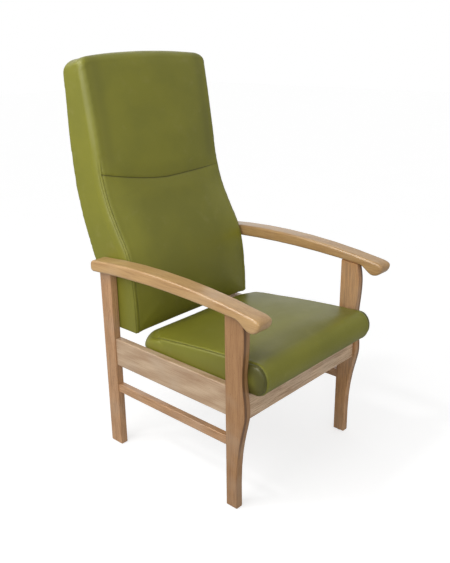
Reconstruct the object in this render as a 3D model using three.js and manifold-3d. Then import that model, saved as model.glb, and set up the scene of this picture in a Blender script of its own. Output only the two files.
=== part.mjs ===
// Upholstered fireside chair with a tall shaped back and open wooden arms.
// Two beech side frames hold a seat unit and a back unit between them.
// Millimetres: X to the right seen from the front, Y towards the back, Z up from the floor.

import * as THREE from 'three';
import { mergeVertices } from 'three/addons/utils/BufferGeometryUtils.js';
import Module from 'manifold-3d';

const wasm = await Module();
wasm.setup();

// Clearances, overruns and facet counts
const fitGap = 0.3;
const overrun = 5;
const curveSteps = 7;
const roundSteps = 2;
const armRoundSteps = 3;
const rodSides = 16;
const noseSteps = 8;
const cornerSteps = 4;
const footSteps = 3;
const lowSteps = 2;

// Layout of the frame
const seatRoom = 511;
const railSpan = 458;
const legThick = 26;
const rearLegDepth = 49;
const legRound = 3;

// Front leg: depth of the leg at named heights, measured forward from its straight rear face
const footDepth = 38;
const ankleDepth = 37.5;
const ankleHeight = 75;
const kneeDepth = 68;
const kneeHeight = 307;
const waistDepth = 59.5;
const waistHeight = 410;
const shoulderDepth = 66;
const shoulderHeight = 528;
const neckDepth = 51;

// Arm: a bowed board whose front end turns down in a scroll
const armWidth = 54.5;
const armReveal = 1.5;
const armUnderCrest = 603.5;
const armUnderBend = 3200;
const armCrestThick = 36.5;
const armTopBend = 2200;
const armTopPlace = 30;
const armTail = 5;
const armTailRound = 14;
const armRound = 7;
const coveAhead = 61;
const scrollLowAhead = 109;
const scrollAhead = 139.5;
const scrollCrestAhead = 115;
const scrollHead = 14.5;
const scrollRise = 28.6;

// Side rails and low stretchers
const sideRailBottom = 284;
const sideRailDepth = 90;
const railInset = 5.5;
const railRound = 4;
const sideTenonLength = 26;
const stretcherBottom = 191;
const stretcherDepth = 28;
const stretcherInset = 5;
const stretcherThick = 18;
const stretcherRound = 3.5;
const stretcherTenonLength = 18;
const tenonThick = 9;
const tenonShoulder = 9;
const smallShoulder = 4;
const armTenonThick = 10;
const armTenonShoulder = 9;
const armTenonLength = 15;

// Front rail, rear cross rail and corner blocks
const seatSink = 14;
const frontRailAhead = 57.5;
const frontRailThick = 20.5;
const rearRailSetback = 124;
const rearRailThick = 20;
const rearRailDepth = 60;
const crossTenonLength = 13;
const blockSize = 70;
const blockDepth = 40;
const blockDrop = 3;

// Glides under the feet
const glideRadius = 10;
const glideHeight = 1.8;
const glideEdge = 0.6;
const nailRadius = 1.5;
const nailLength = 16;

// Seat unit
const coverThick = 1.5;
const seatSideGap = 1;
const seatReach = 118;
const seatStop = 67;
const seatFrontThick = 94;
const seatRearThick = 44;
const seatSideCrown = 8;
const seatMidCrown = 7;
const seatNoseDepth = 36;
const seatCornerRadius = 66;
const seatEdgeRound = 7;
const seatRearRound = 22;
const seatRearRunOut = 30;
const seatBaseRound = 5;
const seatDrawIn = 2.5;
const seatFrameThick = 18;
const seatMemberWidth = 45;
const seatSidePad = 7;
const seatNosePad = 36;
const seatRearPad = 44;
const seatTongueThick = 6;
const seatTongueLength = 12;
const webThick = 2;
const webWidth = 50;
const webLap = 8;
const tuckWidth = 12;
const clothLap = 30;
const clothThick = 0.8;
const screwInset = 19;
const screwAlong = 24;
const screwRadius = 2.25;
const screwBite = 14;
const screwHeadRadius = 5;
const screwHeadThick = 3;

// Back unit
const backSideGap = 0.8;
const backLift = 28;
const backHeight = 794;
const backAhead = 74;
const backLean = 178;
const backBehind = 26;
const backRearLean = 164;
const backMidCrown = 8;
const backCrownFade = 200;
const backTopCrown = 11;
const backTopFall = 12;
const backCornerWidth = 40;
const backCornerDrop = 26;
const backEdgeReach = 26;
const backRearRound = 4;
const backTopFrontRound = 20;
const backTopRearRound = 16;
const backFootRound = 6;
const backFootCorner = 3;
const backDrawIn = 1.5;
const edgeSeamInset = 12;
const edgeSeamWidth = 4;
const edgeSeamSink = 1.2;
const headSeamHeight = 430;
const headSeamRiseLeft = 40;
const headSeamRiseRight = 9;
const headSeamCurve = 1.5;
const headSeamWidth = 7;
const headSeamSink = 3;
const rearPanelThick = 3;
const rearPanelMargin = 18;
const stileThick = 22;
const stileDepth = 50;
const stileFootDepth = 78;
const stileFootLap = 36;
const stileFootFade = 110;
const backSidePad = 8;
const backFootPad = 8;
const backTopPad = 48;
const backRailHeight = 42;
const backRailThick = 22;
const backRailSetIn = 2;
const backRailTenon = 12;
const backTenonInset = 6;
const midRailPlace = 250;

// Back fixing: bolt, plug over its head and threaded insert
const boltRadius = 4;
const boltHeadRadius = 7;
const boltHeadThick = 5;
const plugLength = 4;
const lowBoltHeight = 63;
const highBoltDrop = 49;
const boltStagger = 8;
const insertRadius = 5.5;
const insertFlange = 9;
const insertFlangeThick = 1.5;
const insertLength = 13;

// Shares, chosen by eye, of the lengths that they follow
const roundShare = 0.55;
const ankleLeaveShare = 0.6;
const kneeArriveShare = 0.17;
const bendHandleShare = 0.4;
const coveLeaveShare = 0.33;
const coveArriveShare = 0.37;
const seatWebShares = [0.12, 0.37, 0.62, 0.87];
const backWebShares = [0.2, 0.42, 0.64, 0.86];
const frontHeightShares = [0, 0.09, 0.17, 0.25, 0.32, 0.39, 0.48, 0.58, 0.7, 0.85, 1];
const frontLeanShares = [0, 0.005, 0.03, 0.075, 0.165, 0.335, 0.54, 0.68, 0.76, 0.87, 1];
const rearHeightShares = [0, 0.26, 0.375, 0.47, 0.55, 0.65, 0.8, 1];
const rearLeanShares = [0, 0.476, 0.69, 0.825, 0.9, 0.952, 0.985, 1];
const backRowShares = [0.08, 0.21, 0.32, 0.42, 0.53, 0.68, 0.86];
const lowFrontShares = [0.12, 0.24, 0.36, 0.47, 0.58, 0.69, 0.8, 0.9];
const highFrontShares = [0.3, 0.65];
const seatTopShares = [0.12, 0.3, 0.5, 0.7, 0.88];
const seatEdgeShares = [0, 0.25, 1];
const seatCornerShares = [0.25, 0.5, 1];
const seatMiddleShares = [0.5];
const backEdgeShares = [0, 0.35, 0.7];
const backRoundHeightShares = [0, 0.19, 0.36, 0.7, 1];
const backRoundShares = [0.23, 0.31, 0.96, 0.88, 0.77];
const backMiddleShares = [0.3, 0.65];

// Places that follow from the sizes above
const xLegInner = seatRoom / 2;
const xLegOuter = xLegInner + legThick;
const xRailOuter = xLegOuter - railInset;
const yFrontLeg = -railSpan / 2;
const yRearLeg = railSpan / 2;
const yTail = yRearLeg + rearLegDepth;
const zFoot = glideHeight + fitGap;
const zRailTop = sideRailBottom + sideRailDepth;
const zCrossTop = zRailTop - seatSink;
const zBlockTop = zCrossTop - blockDrop;
const xArmInner = xLegInner + armReveal;
const xArmOuter = xArmInner + armWidth;
const yScroll = yFrontLeg - scrollAhead;
const yFrontRail = yFrontLeg - frontRailAhead;
const yFrontRailRear = yFrontRail + frontRailThick;
const yRearRailRear = yRearLeg - rearRailSetback;
const yRearRail = yRearRailRear - rearRailThick;

const seatHalf = xLegInner - seatSideGap;
const zSeat = zCrossTop + fitGap;
const ySeatNose = yFrontLeg - seatReach;
const ySeatRear = yRearLeg - seatStop;
const skin = coverThick + fitGap;
const xSeatFrame = seatHalf - skin - seatSidePad - fitGap;
const ySeatFrame = ySeatNose + skin + seatNosePad + fitGap;
const ySeatFrameRear = ySeatRear - skin - seatRearPad - fitGap;
const rearMemberFace = ySeatFrameRear - seatMemberWidth;
const zSeatFrame = zSeat + skin;
const zSeatFrameTop = zSeatFrame + seatFrameThick;
const zSeatWebTop = zSeatFrameTop + fitGap + webThick;
const xScrew = xSeatFrame - screwInset;
const yFrontScrew = yFrontRailRear + fitGap + screwAlong;
const yRearScrew = yRearRail - fitGap - screwAlong;

const backHalf = xLegInner - backSideGap;
const zBack = zRailTop + backLift;
const zBackTop = zBack + backHeight;
const yBackFront = yRearLeg - backAhead;
const yBackRear = yRearLeg + backBehind;
const xStileOuter = backHalf - skin - backSidePad - fitGap;
const xStileInner = xStileOuter - stileThick;
const zStile = zBack + skin + backFootPad + fitGap;
const zStileTop = zBackTop - skin - backTopPad - fitGap;
const zMidRail = zBack + midRailPlace;
const zHeadRail = zStileTop - backRailHeight;
const zPanel = zBack + rearPanelMargin;
const zPanelTop = zStileTop;
const frameSetIn = rearPanelThick + fitGap;
const yBolt = yRearLeg + rearLegDepth / 2;
const zHighBolt = armUnderCrest - highBoltDrop;
const yFrontGlide = yFrontLeg - footDepth / 2;
const yRearGlide = yRearLeg + rearLegDepth / 2;
const boltPlaces = [
  [yBolt - boltStagger, zBack + lowBoltHeight],
  [yBolt + boltStagger, zHighBolt],
];

// Finishes
const beech = finish(0xb98a5e, 0.45, 0);
const plywood = finish(0xc9a779, 0.7, 0);
const vinyl = finish(0x6f6f35, 0.4, 0);
const foam = finish(0xd9cfa8, 0.95, 0);
const webbing = finish(0x2b2a27, 0.9, 0);
const cloth = finish(0x161616, 0.95, 0);
const steel = finish(0xa9abad, 0.35, 1);
const nylon = finish(0x3a3734, 0.6, 0);

function finish(color, roughness, metalness) {
  return new THREE.MeshStandardMaterial({ color, roughness, metalness });
}

// Mesh helpers: closed outward-facing meshes, and joins and cuts between them

function signedVolume(position, index) {
  const corner = (i) => new THREE.Vector3().fromBufferAttribute(position, index[i]);
  let volume = 0;
  for (let i = 0; i < index.length; i += 3) {
    volume += corner(i).dot(corner(i + 1).cross(corner(i + 2)));
  }
  return volume;
}

function flipped(index) {
  const turned = [];
  for (let i = 0; i < index.length; i += 3) turned.push(index[i], index[i + 2], index[i + 1]);
  return turned;
}

function closedMesh(geometry) {
  const bare = geometry.clone();
  bare.deleteAttribute('normal');
  bare.deleteAttribute('uv');
  const merged = mergeVertices(bare);
  const old = merged.getIndex().array;
  let index = [];
  for (let i = 0; i < old.length; i += 3) {
    const [a, b, c] = [old[i], old[i + 1], old[i + 2]];
    if (a !== b && b !== c && c !== a) index.push(a, b, c);
  }
  if (signedVolume(merged.getAttribute('position'), index) < 0) index = flipped(index);
  merged.setIndex(index);
  return merged;
}

function toSolid(geometry) {
  const closed = closedMesh(geometry);
  return new wasm.Manifold(new wasm.Mesh({
    numProp: 3,
    vertProperties: new Float32Array(closed.getAttribute('position').array),
    triVerts: new Uint32Array(closed.getIndex().array),
  }));
}

function fromSolid(solid) {
  const mesh = solid.getMesh();
  const geometry = new THREE.BufferGeometry();
  geometry.setAttribute('position', new THREE.Float32BufferAttribute(mesh.vertProperties, 3));
  geometry.setIndex(Array.from(mesh.triVerts));
  return geometry;
}

function cut(geometry, tools) {
  let solid = toSolid(geometry);
  for (const tool of tools) solid = solid.subtract(toSolid(tool));
  return fromSolid(solid);
}

function join(geometry, others) {
  let solid = toSolid(geometry);
  for (const other of others) solid = solid.add(toSolid(other));
  return fromSolid(solid);
}

function mirrored(geometry) {
  const copy = closedMesh(geometry);
  copy.scale(-1, 1, 1);
  copy.setIndex(flipped(copy.getIndex().array));
  return copy;
}

// Plain solids, given by the planes that bound them

function block(xFrom, xTo, yFrom, yTo, zFrom, zTo) {
  const box = new THREE.BoxGeometry(xTo - xFrom, yTo - yFrom, zTo - zFrom);
  return box.translate((xFrom + xTo) / 2, (yFrom + yTo) / 2, (zFrom + zTo) / 2);
}

function turned(geometry, xAxis, yAxis, zAxis) {
  return geometry.applyMatrix4(new THREE.Matrix4().makeBasis(xAxis, yAxis, zAxis));
}

const alongX = new THREE.Vector3(1, 0, 0);
const alongY = new THREE.Vector3(0, 1, 0);
const alongZ = new THREE.Vector3(0, 0, 1);
const againstX = new THREE.Vector3(-1, 0, 0);

function extruded(outline, length, round, steps) {
  return new THREE.ExtrudeGeometry(outline, {
    depth: length - 2 * round,
    steps: 1,
    curveSegments: curveSteps,
    bevelEnabled: round > 0,
    bevelThickness: round,
    bevelSize: round,
    bevelOffset: -round,
    bevelSegments: steps,
  }).translate(0, 0, round);
}

// An outline drawn in Y and Z, run along X
function acrossX(outline, xFrom, xTo, round = 0, steps = roundSteps) {
  const solid = turned(extruded(outline, xTo - xFrom, round, steps), alongY, alongZ, alongX);
  return solid.translate(xFrom, 0, 0);
}

// An outline drawn in X, measured leftwards, and Z, run along Y
function acrossY(outline, yFrom, yTo) {
  const solid = turned(extruded(outline, yTo - yFrom, 0, roundSteps), againstX, alongZ, alongY);
  return solid.translate(0, yFrom, 0);
}

function outlineOf(points) {
  return new THREE.Shape(points.map(([a, b]) => new THREE.Vector2(a, b)));
}

function rodX(radius, xFrom, xTo, y, z) {
  const rod = new THREE.CylinderGeometry(radius, radius, xTo - xFrom, rodSides);
  return rod.rotateZ(-Math.PI / 2).translate((xFrom + xTo) / 2, y, z);
}

function rodZ(radius, x, y, zFrom, zTo) {
  const rod = new THREE.CylinderGeometry(radius, radius, zTo - zFrom, rodSides);
  return rod.rotateX(Math.PI / 2).translate(x, y, (zFrom + zTo) / 2);
}

// A turned piece whose profile lists [radius, height] and stands along Z
function turnedZ(profile) {
  const points = profile.map(([radius, height]) => new THREE.Vector2(radius, height));
  return new THREE.LatheGeometry(points, rodSides).rotateX(Math.PI / 2);
}

function turnedX(profile) {
  const points = profile.map(([radius, height]) => new THREE.Vector2(radius, height));
  return new THREE.LatheGeometry(points, rodSides).rotateZ(-Math.PI / 2);
}

// Curves: the bow of the arm, and a smooth line through named heights

function bow(crest, place, bend) {
  return {
    at: (y) => crest - (y - place) ** 2 / (2 * bend),
    slope: (y) => -(y - place) / bend,
  };
}

function bowTo(outline, line, yFrom, yTo) {
  const yMid = (yFrom + yTo) / 2;
  const zMid = line.at(yFrom) + line.slope(yFrom) * (yMid - yFrom);
  outline.quadraticCurveTo(yMid, zMid, yTo, line.at(yTo));
}

function slopesThrough(heights, reaches) {
  const last = heights.length - 1;
  const rise = (i, j) => (reaches[j] - reaches[i]) / (heights[j] - heights[i]);
  return heights.map((_, i) => rise(Math.max(i - 1, 0), Math.min(i + 1, last)));
}

function lineThrough(heights, reaches) {
  const slopes = slopesThrough(heights, reaches);
  return (z) => {
    let i = 0;
    while (i < heights.length - 2 && z > heights[i + 1]) i += 1;
    const span = heights[i + 1] - heights[i];
    const t = THREE.MathUtils.clamp((z - heights[i]) / span, 0, 1);
    const start = (1 + 2 * t) * (1 - t) ** 2 * reaches[i];
    const leave = t * (1 - t) ** 2 * span * slopes[i];
    const end = t * t * (3 - 2 * t) * reaches[i + 1];
    const arrive = t * t * (t - 1) * span * slopes[i + 1];
    return start + leave + end + arrive;
  };
}

// The same line, straight between the rows that every back piece shares, so that the pieces nest
function straightened(line, rows) {
  return (z) => {
    let i = 0;
    while (i < rows.length - 2 && z > rows[i + 1]) i += 1;
    const share = (z - rows[i]) / (rows[i + 1] - rows[i]);
    return THREE.MathUtils.lerp(line(rows[i]), line(rows[i + 1]), share);
  };
}

const armUnder = bow(armUnderCrest, 0, armUnderBend);
const armTop = bow(armUnderCrest + armCrestThick, armTopPlace, armTopBend);
const backFrontLine = lineThrough(
  frontHeightShares.map((share) => zBack + share * backHeight),
  frontLeanShares.map((share) => yBackFront + share * backLean),
);
// Radius of the back's front edges, which are sharper at the foot
const backRoundAt = lineThrough(
  backRoundHeightShares.map((share) => zBack + share * backHeight),
  backRoundShares.map((share) => share * backEdgeReach),
);
const backRows = [0, ...backRowShares, 1].map((share) => zBack + share * backHeight);
const backRearLine = straightened(lineThrough(
  rearHeightShares.map((share) => zBack + share * backHeight),
  rearLeanShares.map((share) => yBackRear + share * backRearLean),
), backRows);

// Side frames, drawn for the right-hand side and mirrored for the left

function sideTenon(length) {
  const xMid = (xLegInner + xRailOuter) / 2;
  return (gap) => block(
    xMid - tenonThick / 2 - gap, xMid + tenonThick / 2 + gap,
    yFrontLeg - length - gap, yRearLeg + length + gap,
    sideRailBottom + tenonShoulder - gap, zRailTop - tenonShoulder + gap,
  );
}

function stretcherTenon(gap) {
  const xMid = xLegOuter - stretcherInset - stretcherThick / 2;
  return block(
    xMid - tenonThick / 2 - gap, xMid + tenonThick / 2 + gap,
    yFrontLeg - stretcherTenonLength - gap, yRearLeg + stretcherTenonLength + gap,
    stretcherBottom + smallShoulder - gap, stretcherBottom + stretcherDepth - smallShoulder + gap,
  );
}

function armTenon(yFrom, yTo, gap) {
  const xMid = (xLegInner + xLegOuter) / 2;
  const zTop = Math.min(armUnder.at(yFrom), armUnder.at(yTo)) + armTenonLength;
  return block(
    xMid - armTenonThick / 2 - gap, xMid + armTenonThick / 2 + gap,
    yFrom + armTenonShoulder - gap, yTo - armTenonShoulder + gap,
    waistHeight, zTop + gap,
  );
}

function frontArmTenon(gap) {
  return armTenon(yFrontLeg - neckDepth, yFrontLeg, gap);
}

function rearArmTenon(gap) {
  return armTenon(yRearLeg, yTail, gap);
}

function crossTenon(y, thick, length, zFrom, gap) {
  const yMid = y + thick / 2;
  return block(
    -xLegInner - length - gap, xLegInner + length + gap,
    yMid - tenonThick / 2 - gap, yMid + tenonThick / 2 + gap,
    zFrom + tenonShoulder - gap, zCrossTop - tenonShoulder + gap,
  );
}

function frontRailTenon(gap) {
  return crossTenon(yFrontRail, frontRailThick, crossTenonLength, sideRailBottom, gap);
}

function rearRailTenon(gap) {
  return crossTenon(yRearRail, rearRailThick, crossTenonLength, zCrossTop - rearRailDepth, gap);
}

// Everything above the arm's underside, less the shoulder clearance
function aboveArmUnder() {
  const low = yScroll - overrun;
  const high = yTail + armTail + overrun;
  const outline = new THREE.Shape();
  const line = bow(armUnderCrest - fitGap, 0, armUnderBend);
  outline.moveTo(low, armUnderCrest + armCrestThick);
  outline.lineTo(low, line.at(low));
  bowTo(outline, line, low, high);
  outline.lineTo(high, armUnderCrest + armCrestThick);
  return acrossX(outline, xLegInner - overrun, xLegOuter + overrun);
}

function sCurve(outline, from, to, leaveShare, arriveShare) {
  const rise = to[1] - from[1];
  outline.bezierCurveTo(
    from[0], from[1] + leaveShare * rise,
    to[0], to[1] - arriveShare * rise,
    to[0], to[1],
  );
}

function frontLegOutline() {
  const point = (depth, height) => [yFrontLeg - depth, height];
  const ankle = point(ankleDepth, ankleHeight);
  const knee = point(kneeDepth, kneeHeight);
  const waist = point(waistDepth, waistHeight);
  const shoulder = point(shoulderDepth, shoulderHeight);
  const neck = point(neckDepth, armUnderCrest);
  const outline = new THREE.Shape();
  outline.moveTo(yFrontLeg, zFoot);
  outline.lineTo(yFrontLeg, armUnderCrest);
  outline.lineTo(neck[0], neck[1]);
  outline.quadraticCurveTo(shoulder[0], (neck[1] + shoulder[1]) / 2, shoulder[0], shoulder[1]);
  sCurve(outline, shoulder, waist, bendHandleShare, bendHandleShare);
  sCurve(outline, waist, knee, bendHandleShare, bendHandleShare);
  sCurve(outline, knee, ankle, kneeArriveShare, ankleLeaveShare);
  outline.lineTo(yFrontLeg - footDepth, zFoot);
  return outline;
}

function legBlank(outline) {
  return acrossX(outline, xLegInner, xLegOuter, legRound);
}

function glideSocket(y) {
  const x = (xLegInner + xLegOuter) / 2;
  const zTop = glideHeight + nailLength + fitGap;
  return rodZ(nailRadius + fitGap, x, y, zFoot - overrun, zTop);
}

function frontLeg() {
  const shouldered = cut(legBlank(frontLegOutline()), [aboveArmUnder()]);
  const tenoned = join(shouldered, [frontArmTenon(0)]);
  return cut(tenoned, [
    sideTenon(sideTenonLength)(fitGap),
    stretcherTenon(fitGap),
    frontRailTenon(fitGap),
    glideSocket(yFrontGlide),
  ]);
}

function boltPassage([y, z]) {
  const seat = xLegOuter - plugLength - boltHeadThick - 2 * fitGap;
  return [
    rodX(boltRadius + fitGap, xLegInner - overrun, xLegOuter, y, z),
    rodX(boltHeadRadius + fitGap, seat, xLegOuter + overrun, y, z),
  ];
}

function rearLeg() {
  const outline = outlineOf([
    [yRearLeg, zFoot],
    [yTail, zFoot],
    [yTail, armUnderCrest],
    [yRearLeg, armUnderCrest],
  ]);
  const shouldered = cut(legBlank(outline), [aboveArmUnder()]);
  const tenoned = join(shouldered, [rearArmTenon(0)]);
  return cut(tenoned, [
    sideTenon(sideTenonLength)(fitGap),
    stretcherTenon(fitGap),
    glideSocket(yRearGlide),
    ...boltPlaces.flatMap(boltPassage),
  ]);
}

function armOutline() {
  const tail = yTail + armTail;
  const yCove = yFrontLeg - coveAhead;
  const yLow = yFrontLeg - scrollLowAhead;
  const yCrest = yFrontLeg - scrollCrestAhead;
  const zNose = armTop.at(yCrest) - scrollHead;
  const zLow = zNose - scrollRise;
  const coveRun = yCove - yLow;
  const noseRun = yLow - yScroll;
  const crestRun = yCrest - yScroll;
  const crestSlope = armTop.slope(yCrest);
  const outline = new THREE.Shape();
  outline.moveTo(tail - armTailRound, armUnder.at(tail - armTailRound));
  bowTo(outline, armUnder, tail - armTailRound, yCove);
  outline.bezierCurveTo(
    yCove - coveLeaveShare * coveRun,
    armUnder.at(yCove) - coveLeaveShare * coveRun * armUnder.slope(yCove),
    yLow + coveArriveShare * coveRun, zLow,
    yLow, zLow,
  );
  outline.bezierCurveTo(
    yLow - roundShare * noseRun, zLow,
    yScroll, zNose - roundShare * scrollRise,
    yScroll, zNose,
  );
  outline.bezierCurveTo(
    yScroll, zNose + roundShare * scrollHead,
    yCrest - roundShare * crestRun, armTop.at(yCrest) - roundShare * crestRun * crestSlope,
    yCrest, armTop.at(yCrest),
  );
  bowTo(outline, armTop, yCrest, tail - armTailRound);
  outline.quadraticCurveTo(tail, armTop.at(tail), tail, armTop.at(tail) - armTailRound);
  outline.lineTo(tail, armUnder.at(tail) + armTailRound);
  outline.quadraticCurveTo(tail, armUnder.at(tail), tail - armTailRound, armUnder.at(tail - armTailRound));
  return outline;
}

function arm() {
  const blank = acrossX(armOutline(), xArmInner, xArmOuter, armRound, armRoundSteps);
  return cut(blank, [frontArmTenon(fitGap), rearArmTenon(fitGap)]);
}

// A rail section with rounded outer corners; x is measured inwards from the outer face
function roundedRail(xInner, xOuter, zFrom, zTo, round, yFrom, yTo) {
  const outline = new THREE.Shape();
  outline.moveTo(-xInner, zFrom);
  outline.lineTo(-xInner, zTo);
  outline.lineTo(-xOuter + round, zTo);
  outline.quadraticCurveTo(-xOuter, zTo, -xOuter, zTo - round);
  outline.lineTo(-xOuter, zFrom + round);
  outline.quadraticCurveTo(-xOuter, zFrom, -xOuter + round, zFrom);
  return acrossY(outline, yFrom, yTo);
}

function sideRail() {
  const rail = roundedRail(
    xLegInner, xRailOuter, sideRailBottom, zRailTop, railRound,
    yFrontLeg + fitGap, yRearLeg - fitGap,
  );
  return cut(join(rail, [sideTenon(sideTenonLength)(0)]), [rearRailTenon(fitGap)]);
}

function sideStretcher() {
  const xOuter = xLegOuter - stretcherInset;
  const rail = roundedRail(
    xOuter - stretcherThick, xOuter, stretcherBottom, stretcherBottom + stretcherDepth,
    stretcherRound, yFrontLeg + fitGap, yRearLeg - fitGap,
  );
  return join(rail, [stretcherTenon(0)]);
}

function glide(y) {
  const x = (xLegInner + xLegOuter) / 2;
  return turnedZ([
    [0, 0],
    [glideRadius - glideEdge, 0],
    [glideRadius, glideEdge],
    [glideRadius, glideHeight],
    [nailRadius, glideHeight],
    [nailRadius, glideHeight + nailLength],
    [0, glideHeight + nailLength],
  ]).translate(x, y, 0);
}

// Cross rails and corner blocks

function frontRail() {
  const half = xLegInner - fitGap;
  const rail = block(-half, half, yFrontRail, yFrontRailRear, sideRailBottom, zCrossTop);
  return join(rail, [frontRailTenon(0)]);
}

function rearCrossRail() {
  const half = xLegInner - fitGap;
  const rail = block(-half, half, yRearRail, yRearRailRear, zCrossTop - rearRailDepth, zCrossTop);
  return join(rail, [rearRailTenon(0)]);
}

// A three-cornered block glued into the corner between a side frame and a cross rail
function cornerBlock(yCorner, direction, yScrew) {
  const x = xLegInner - fitGap;
  const outline = outlineOf([
    [x, yCorner],
    [x, yCorner + direction * blockSize],
    [x - blockSize, yCorner],
  ]);
  const blank = new THREE.ExtrudeGeometry(outline, { depth: blockDepth, bevelEnabled: false });
  blank.translate(0, 0, zBlockTop - blockDepth);
  const zLow = zBlockTop - blockDepth;
  return cut(blank, [rodZ(screwRadius + fitGap, xScrew, yScrew, zLow - overrun, zCrossTop)]);
}

function frontBlock() {
  return cornerBlock(yFrontRailRear + fitGap, 1, yFrontScrew);
}

function rearBlock() {
  return cornerBlock(yRearRail - fitGap, -1, yRearScrew);
}

function seatScrew(yScrew) {
  const zHead = zBlockTop - blockDepth - fitGap;
  return turnedZ([
    [0, zHead - screwHeadThick],
    [screwHeadRadius, zHead - screwHeadThick],
    [screwHeadRadius, zHead],
    [screwRadius, zHead],
    [screwRadius, zSeatFrame + screwBite],
    [0, zSeatFrame + screwBite],
  ]).translate(xScrew, yScrew, 0);
}

// Cushion surfaces: rings of points in Y and Z, one ring for each place across the width

function mirrorPlaces(half, insets, shares) {
  const last = insets[insets.length - 1];
  const inner = shares.map((share) => last + share * (half - last));
  const right = [...insets, ...inner].map((inset) => half - inset);
  return [...right.map((x) => -x), 0, ...right.reverse()];
}

function skinned(places, ringAt) {
  const rings = places.map((x) => ringAt(x));
  const count = rings[0].length;
  const points = rings.flat(1);
  const index = [];
  for (let i = 0; i < rings.length - 1; i += 1) {
    for (let j = 0; j < count; j += 1) {
      const a = i * count + j;
      const b = i * count + (j + 1) % count;
      index.push(a, a + count, b, b, a + count, b + count);
    }
  }
  const rim = rings[0].map(([, y, z]) => new THREE.Vector2(y, z));
  for (const [a, b, c] of THREE.ShapeUtils.triangulateShape(rim, [])) index.push(a, c, b);
  const end = (rings.length - 1) * count;
  const farRim = rings[rings.length - 1].map(([, y, z]) => new THREE.Vector2(y, z));
  for (const [a, b, c] of THREE.ShapeUtils.triangulateShape(farRim, [])) {
    index.push(end + a, end + b, end + c);
  }
  const geometry = new THREE.BufferGeometry();
  geometry.setAttribute('position', new THREE.Float32BufferAttribute(points.flat(), 3));
  geometry.setIndex(index);
  return geometry;
}

// How far a rounded edge of the given radius has fallen away, this far in from the side
function edgeFall(radius, inset) {
  if (inset >= radius) return 0;
  return radius - Math.sqrt(radius * radius - (radius - inset) ** 2);
}

function arcPoints(y, z, radiusY, radiusZ, fromDegrees, toDegrees, count) {
  const points = [];
  for (let i = 0; i < count; i += 1) {
    const angle = THREE.MathUtils.degToRad(THREE.MathUtils.lerp(fromDegrees, toDegrees, i / (count - 1)));
    points.push([y + radiusY * Math.cos(angle), z + radiusZ * Math.sin(angle)]);
  }
  return points;
}

// How strongly a side is drawn in between two corners, from 0 at the corners to 1
function drawShare(value, from, to) {
  const t = THREE.MathUtils.clamp((value - from) / (to - from), 0, 1);
  return 4 * t * (1 - t);
}

function seatTopAt(y, across) {
  const share = THREE.MathUtils.clamp((y - ySeatNose) / (ySeatRear - ySeatNose), 0, 1);
  const straight = THREE.MathUtils.lerp(seatFrontThick, seatRearThick, share);
  const along = 4 * share * (1 - share);
  return zSeat + straight + along * (seatSideCrown + seatMidCrown * (1 - across * across));
}

function seatRing(x, layer) {
  const half = seatHalf - layer;
  const inset = half - Math.abs(x);
  const across = x / half;
  const round = edgeFall(seatEdgeRound, inset);
  const rear = ySeatRear - layer - edgeFall(seatCornerRadius - layer, inset);
  const noseDepth = seatNoseDepth - layer - round;
  const yNose = ySeatNose + seatNoseDepth;
  const zTop = (y) => seatTopAt(y, across) - layer - round;
  const zLow = zSeat + layer + round;
  const noseHalf = (zTop(yNose) - zLow) / 2;
  const nose = arcPoints(yNose, zLow + noseHalf, noseDepth, noseHalf, 270, 90, noseSteps);
  const rearRound = Math.min(seatRearRound, (zTop(rear) - zLow) / 2);
  const crown = seatTopShares.map((share) => {
    const y = THREE.MathUtils.lerp(yNose, rear - seatRearRunOut, share);
    return [y, zTop(y)];
  });
  const yRearTop = rear - seatRearRunOut;
  const zRearTop = zTop(rear) - rearRound;
  const rearTop = arcPoints(yRearTop, zRearTop, seatRearRunOut, rearRound, 90, 0, cornerSteps);
  const low = seatBaseRound;
  const rearLow = arcPoints(rear - low, zLow + low, low, low, 0, -90, lowSteps);
  const nearSide = inset < seatEdgeRound ? 1 : 0;
  const ring = [...nose, ...crown, ...rearTop, ...rearLow];
  return ring.map(([y, z]) => {
    const draw = nearSide * seatDrawIn * drawShare(y, yNose, rear);
    return [x - Math.sign(x) * draw, y, z];
  });
}

function seatForm(layer) {
  const edge = seatEdgeShares.map((share) => share * seatEdgeRound);
  const corner = seatCornerShares.map((share) => share * seatCornerRadius);
  const places = mirrorPlaces(seatHalf - layer, [...edge, ...corner], seatMiddleShares);
  return skinned(places, (x) => seatRing(x, layer));
}

// The seam below the headrest, lowest in the middle and higher at one end
function headSeamAt(x) {
  const rise = x < 0 ? headSeamRiseLeft : headSeamRiseRight;
  return zBack + headSeamHeight + rise * (Math.abs(x) / backHalf) ** headSeamCurve;
}

// The back's front is flat across at the foot and swells further up
function crownShare(z) {
  return THREE.MathUtils.clamp((z - zBack) / backCrownFade, 0, 1);
}

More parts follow.
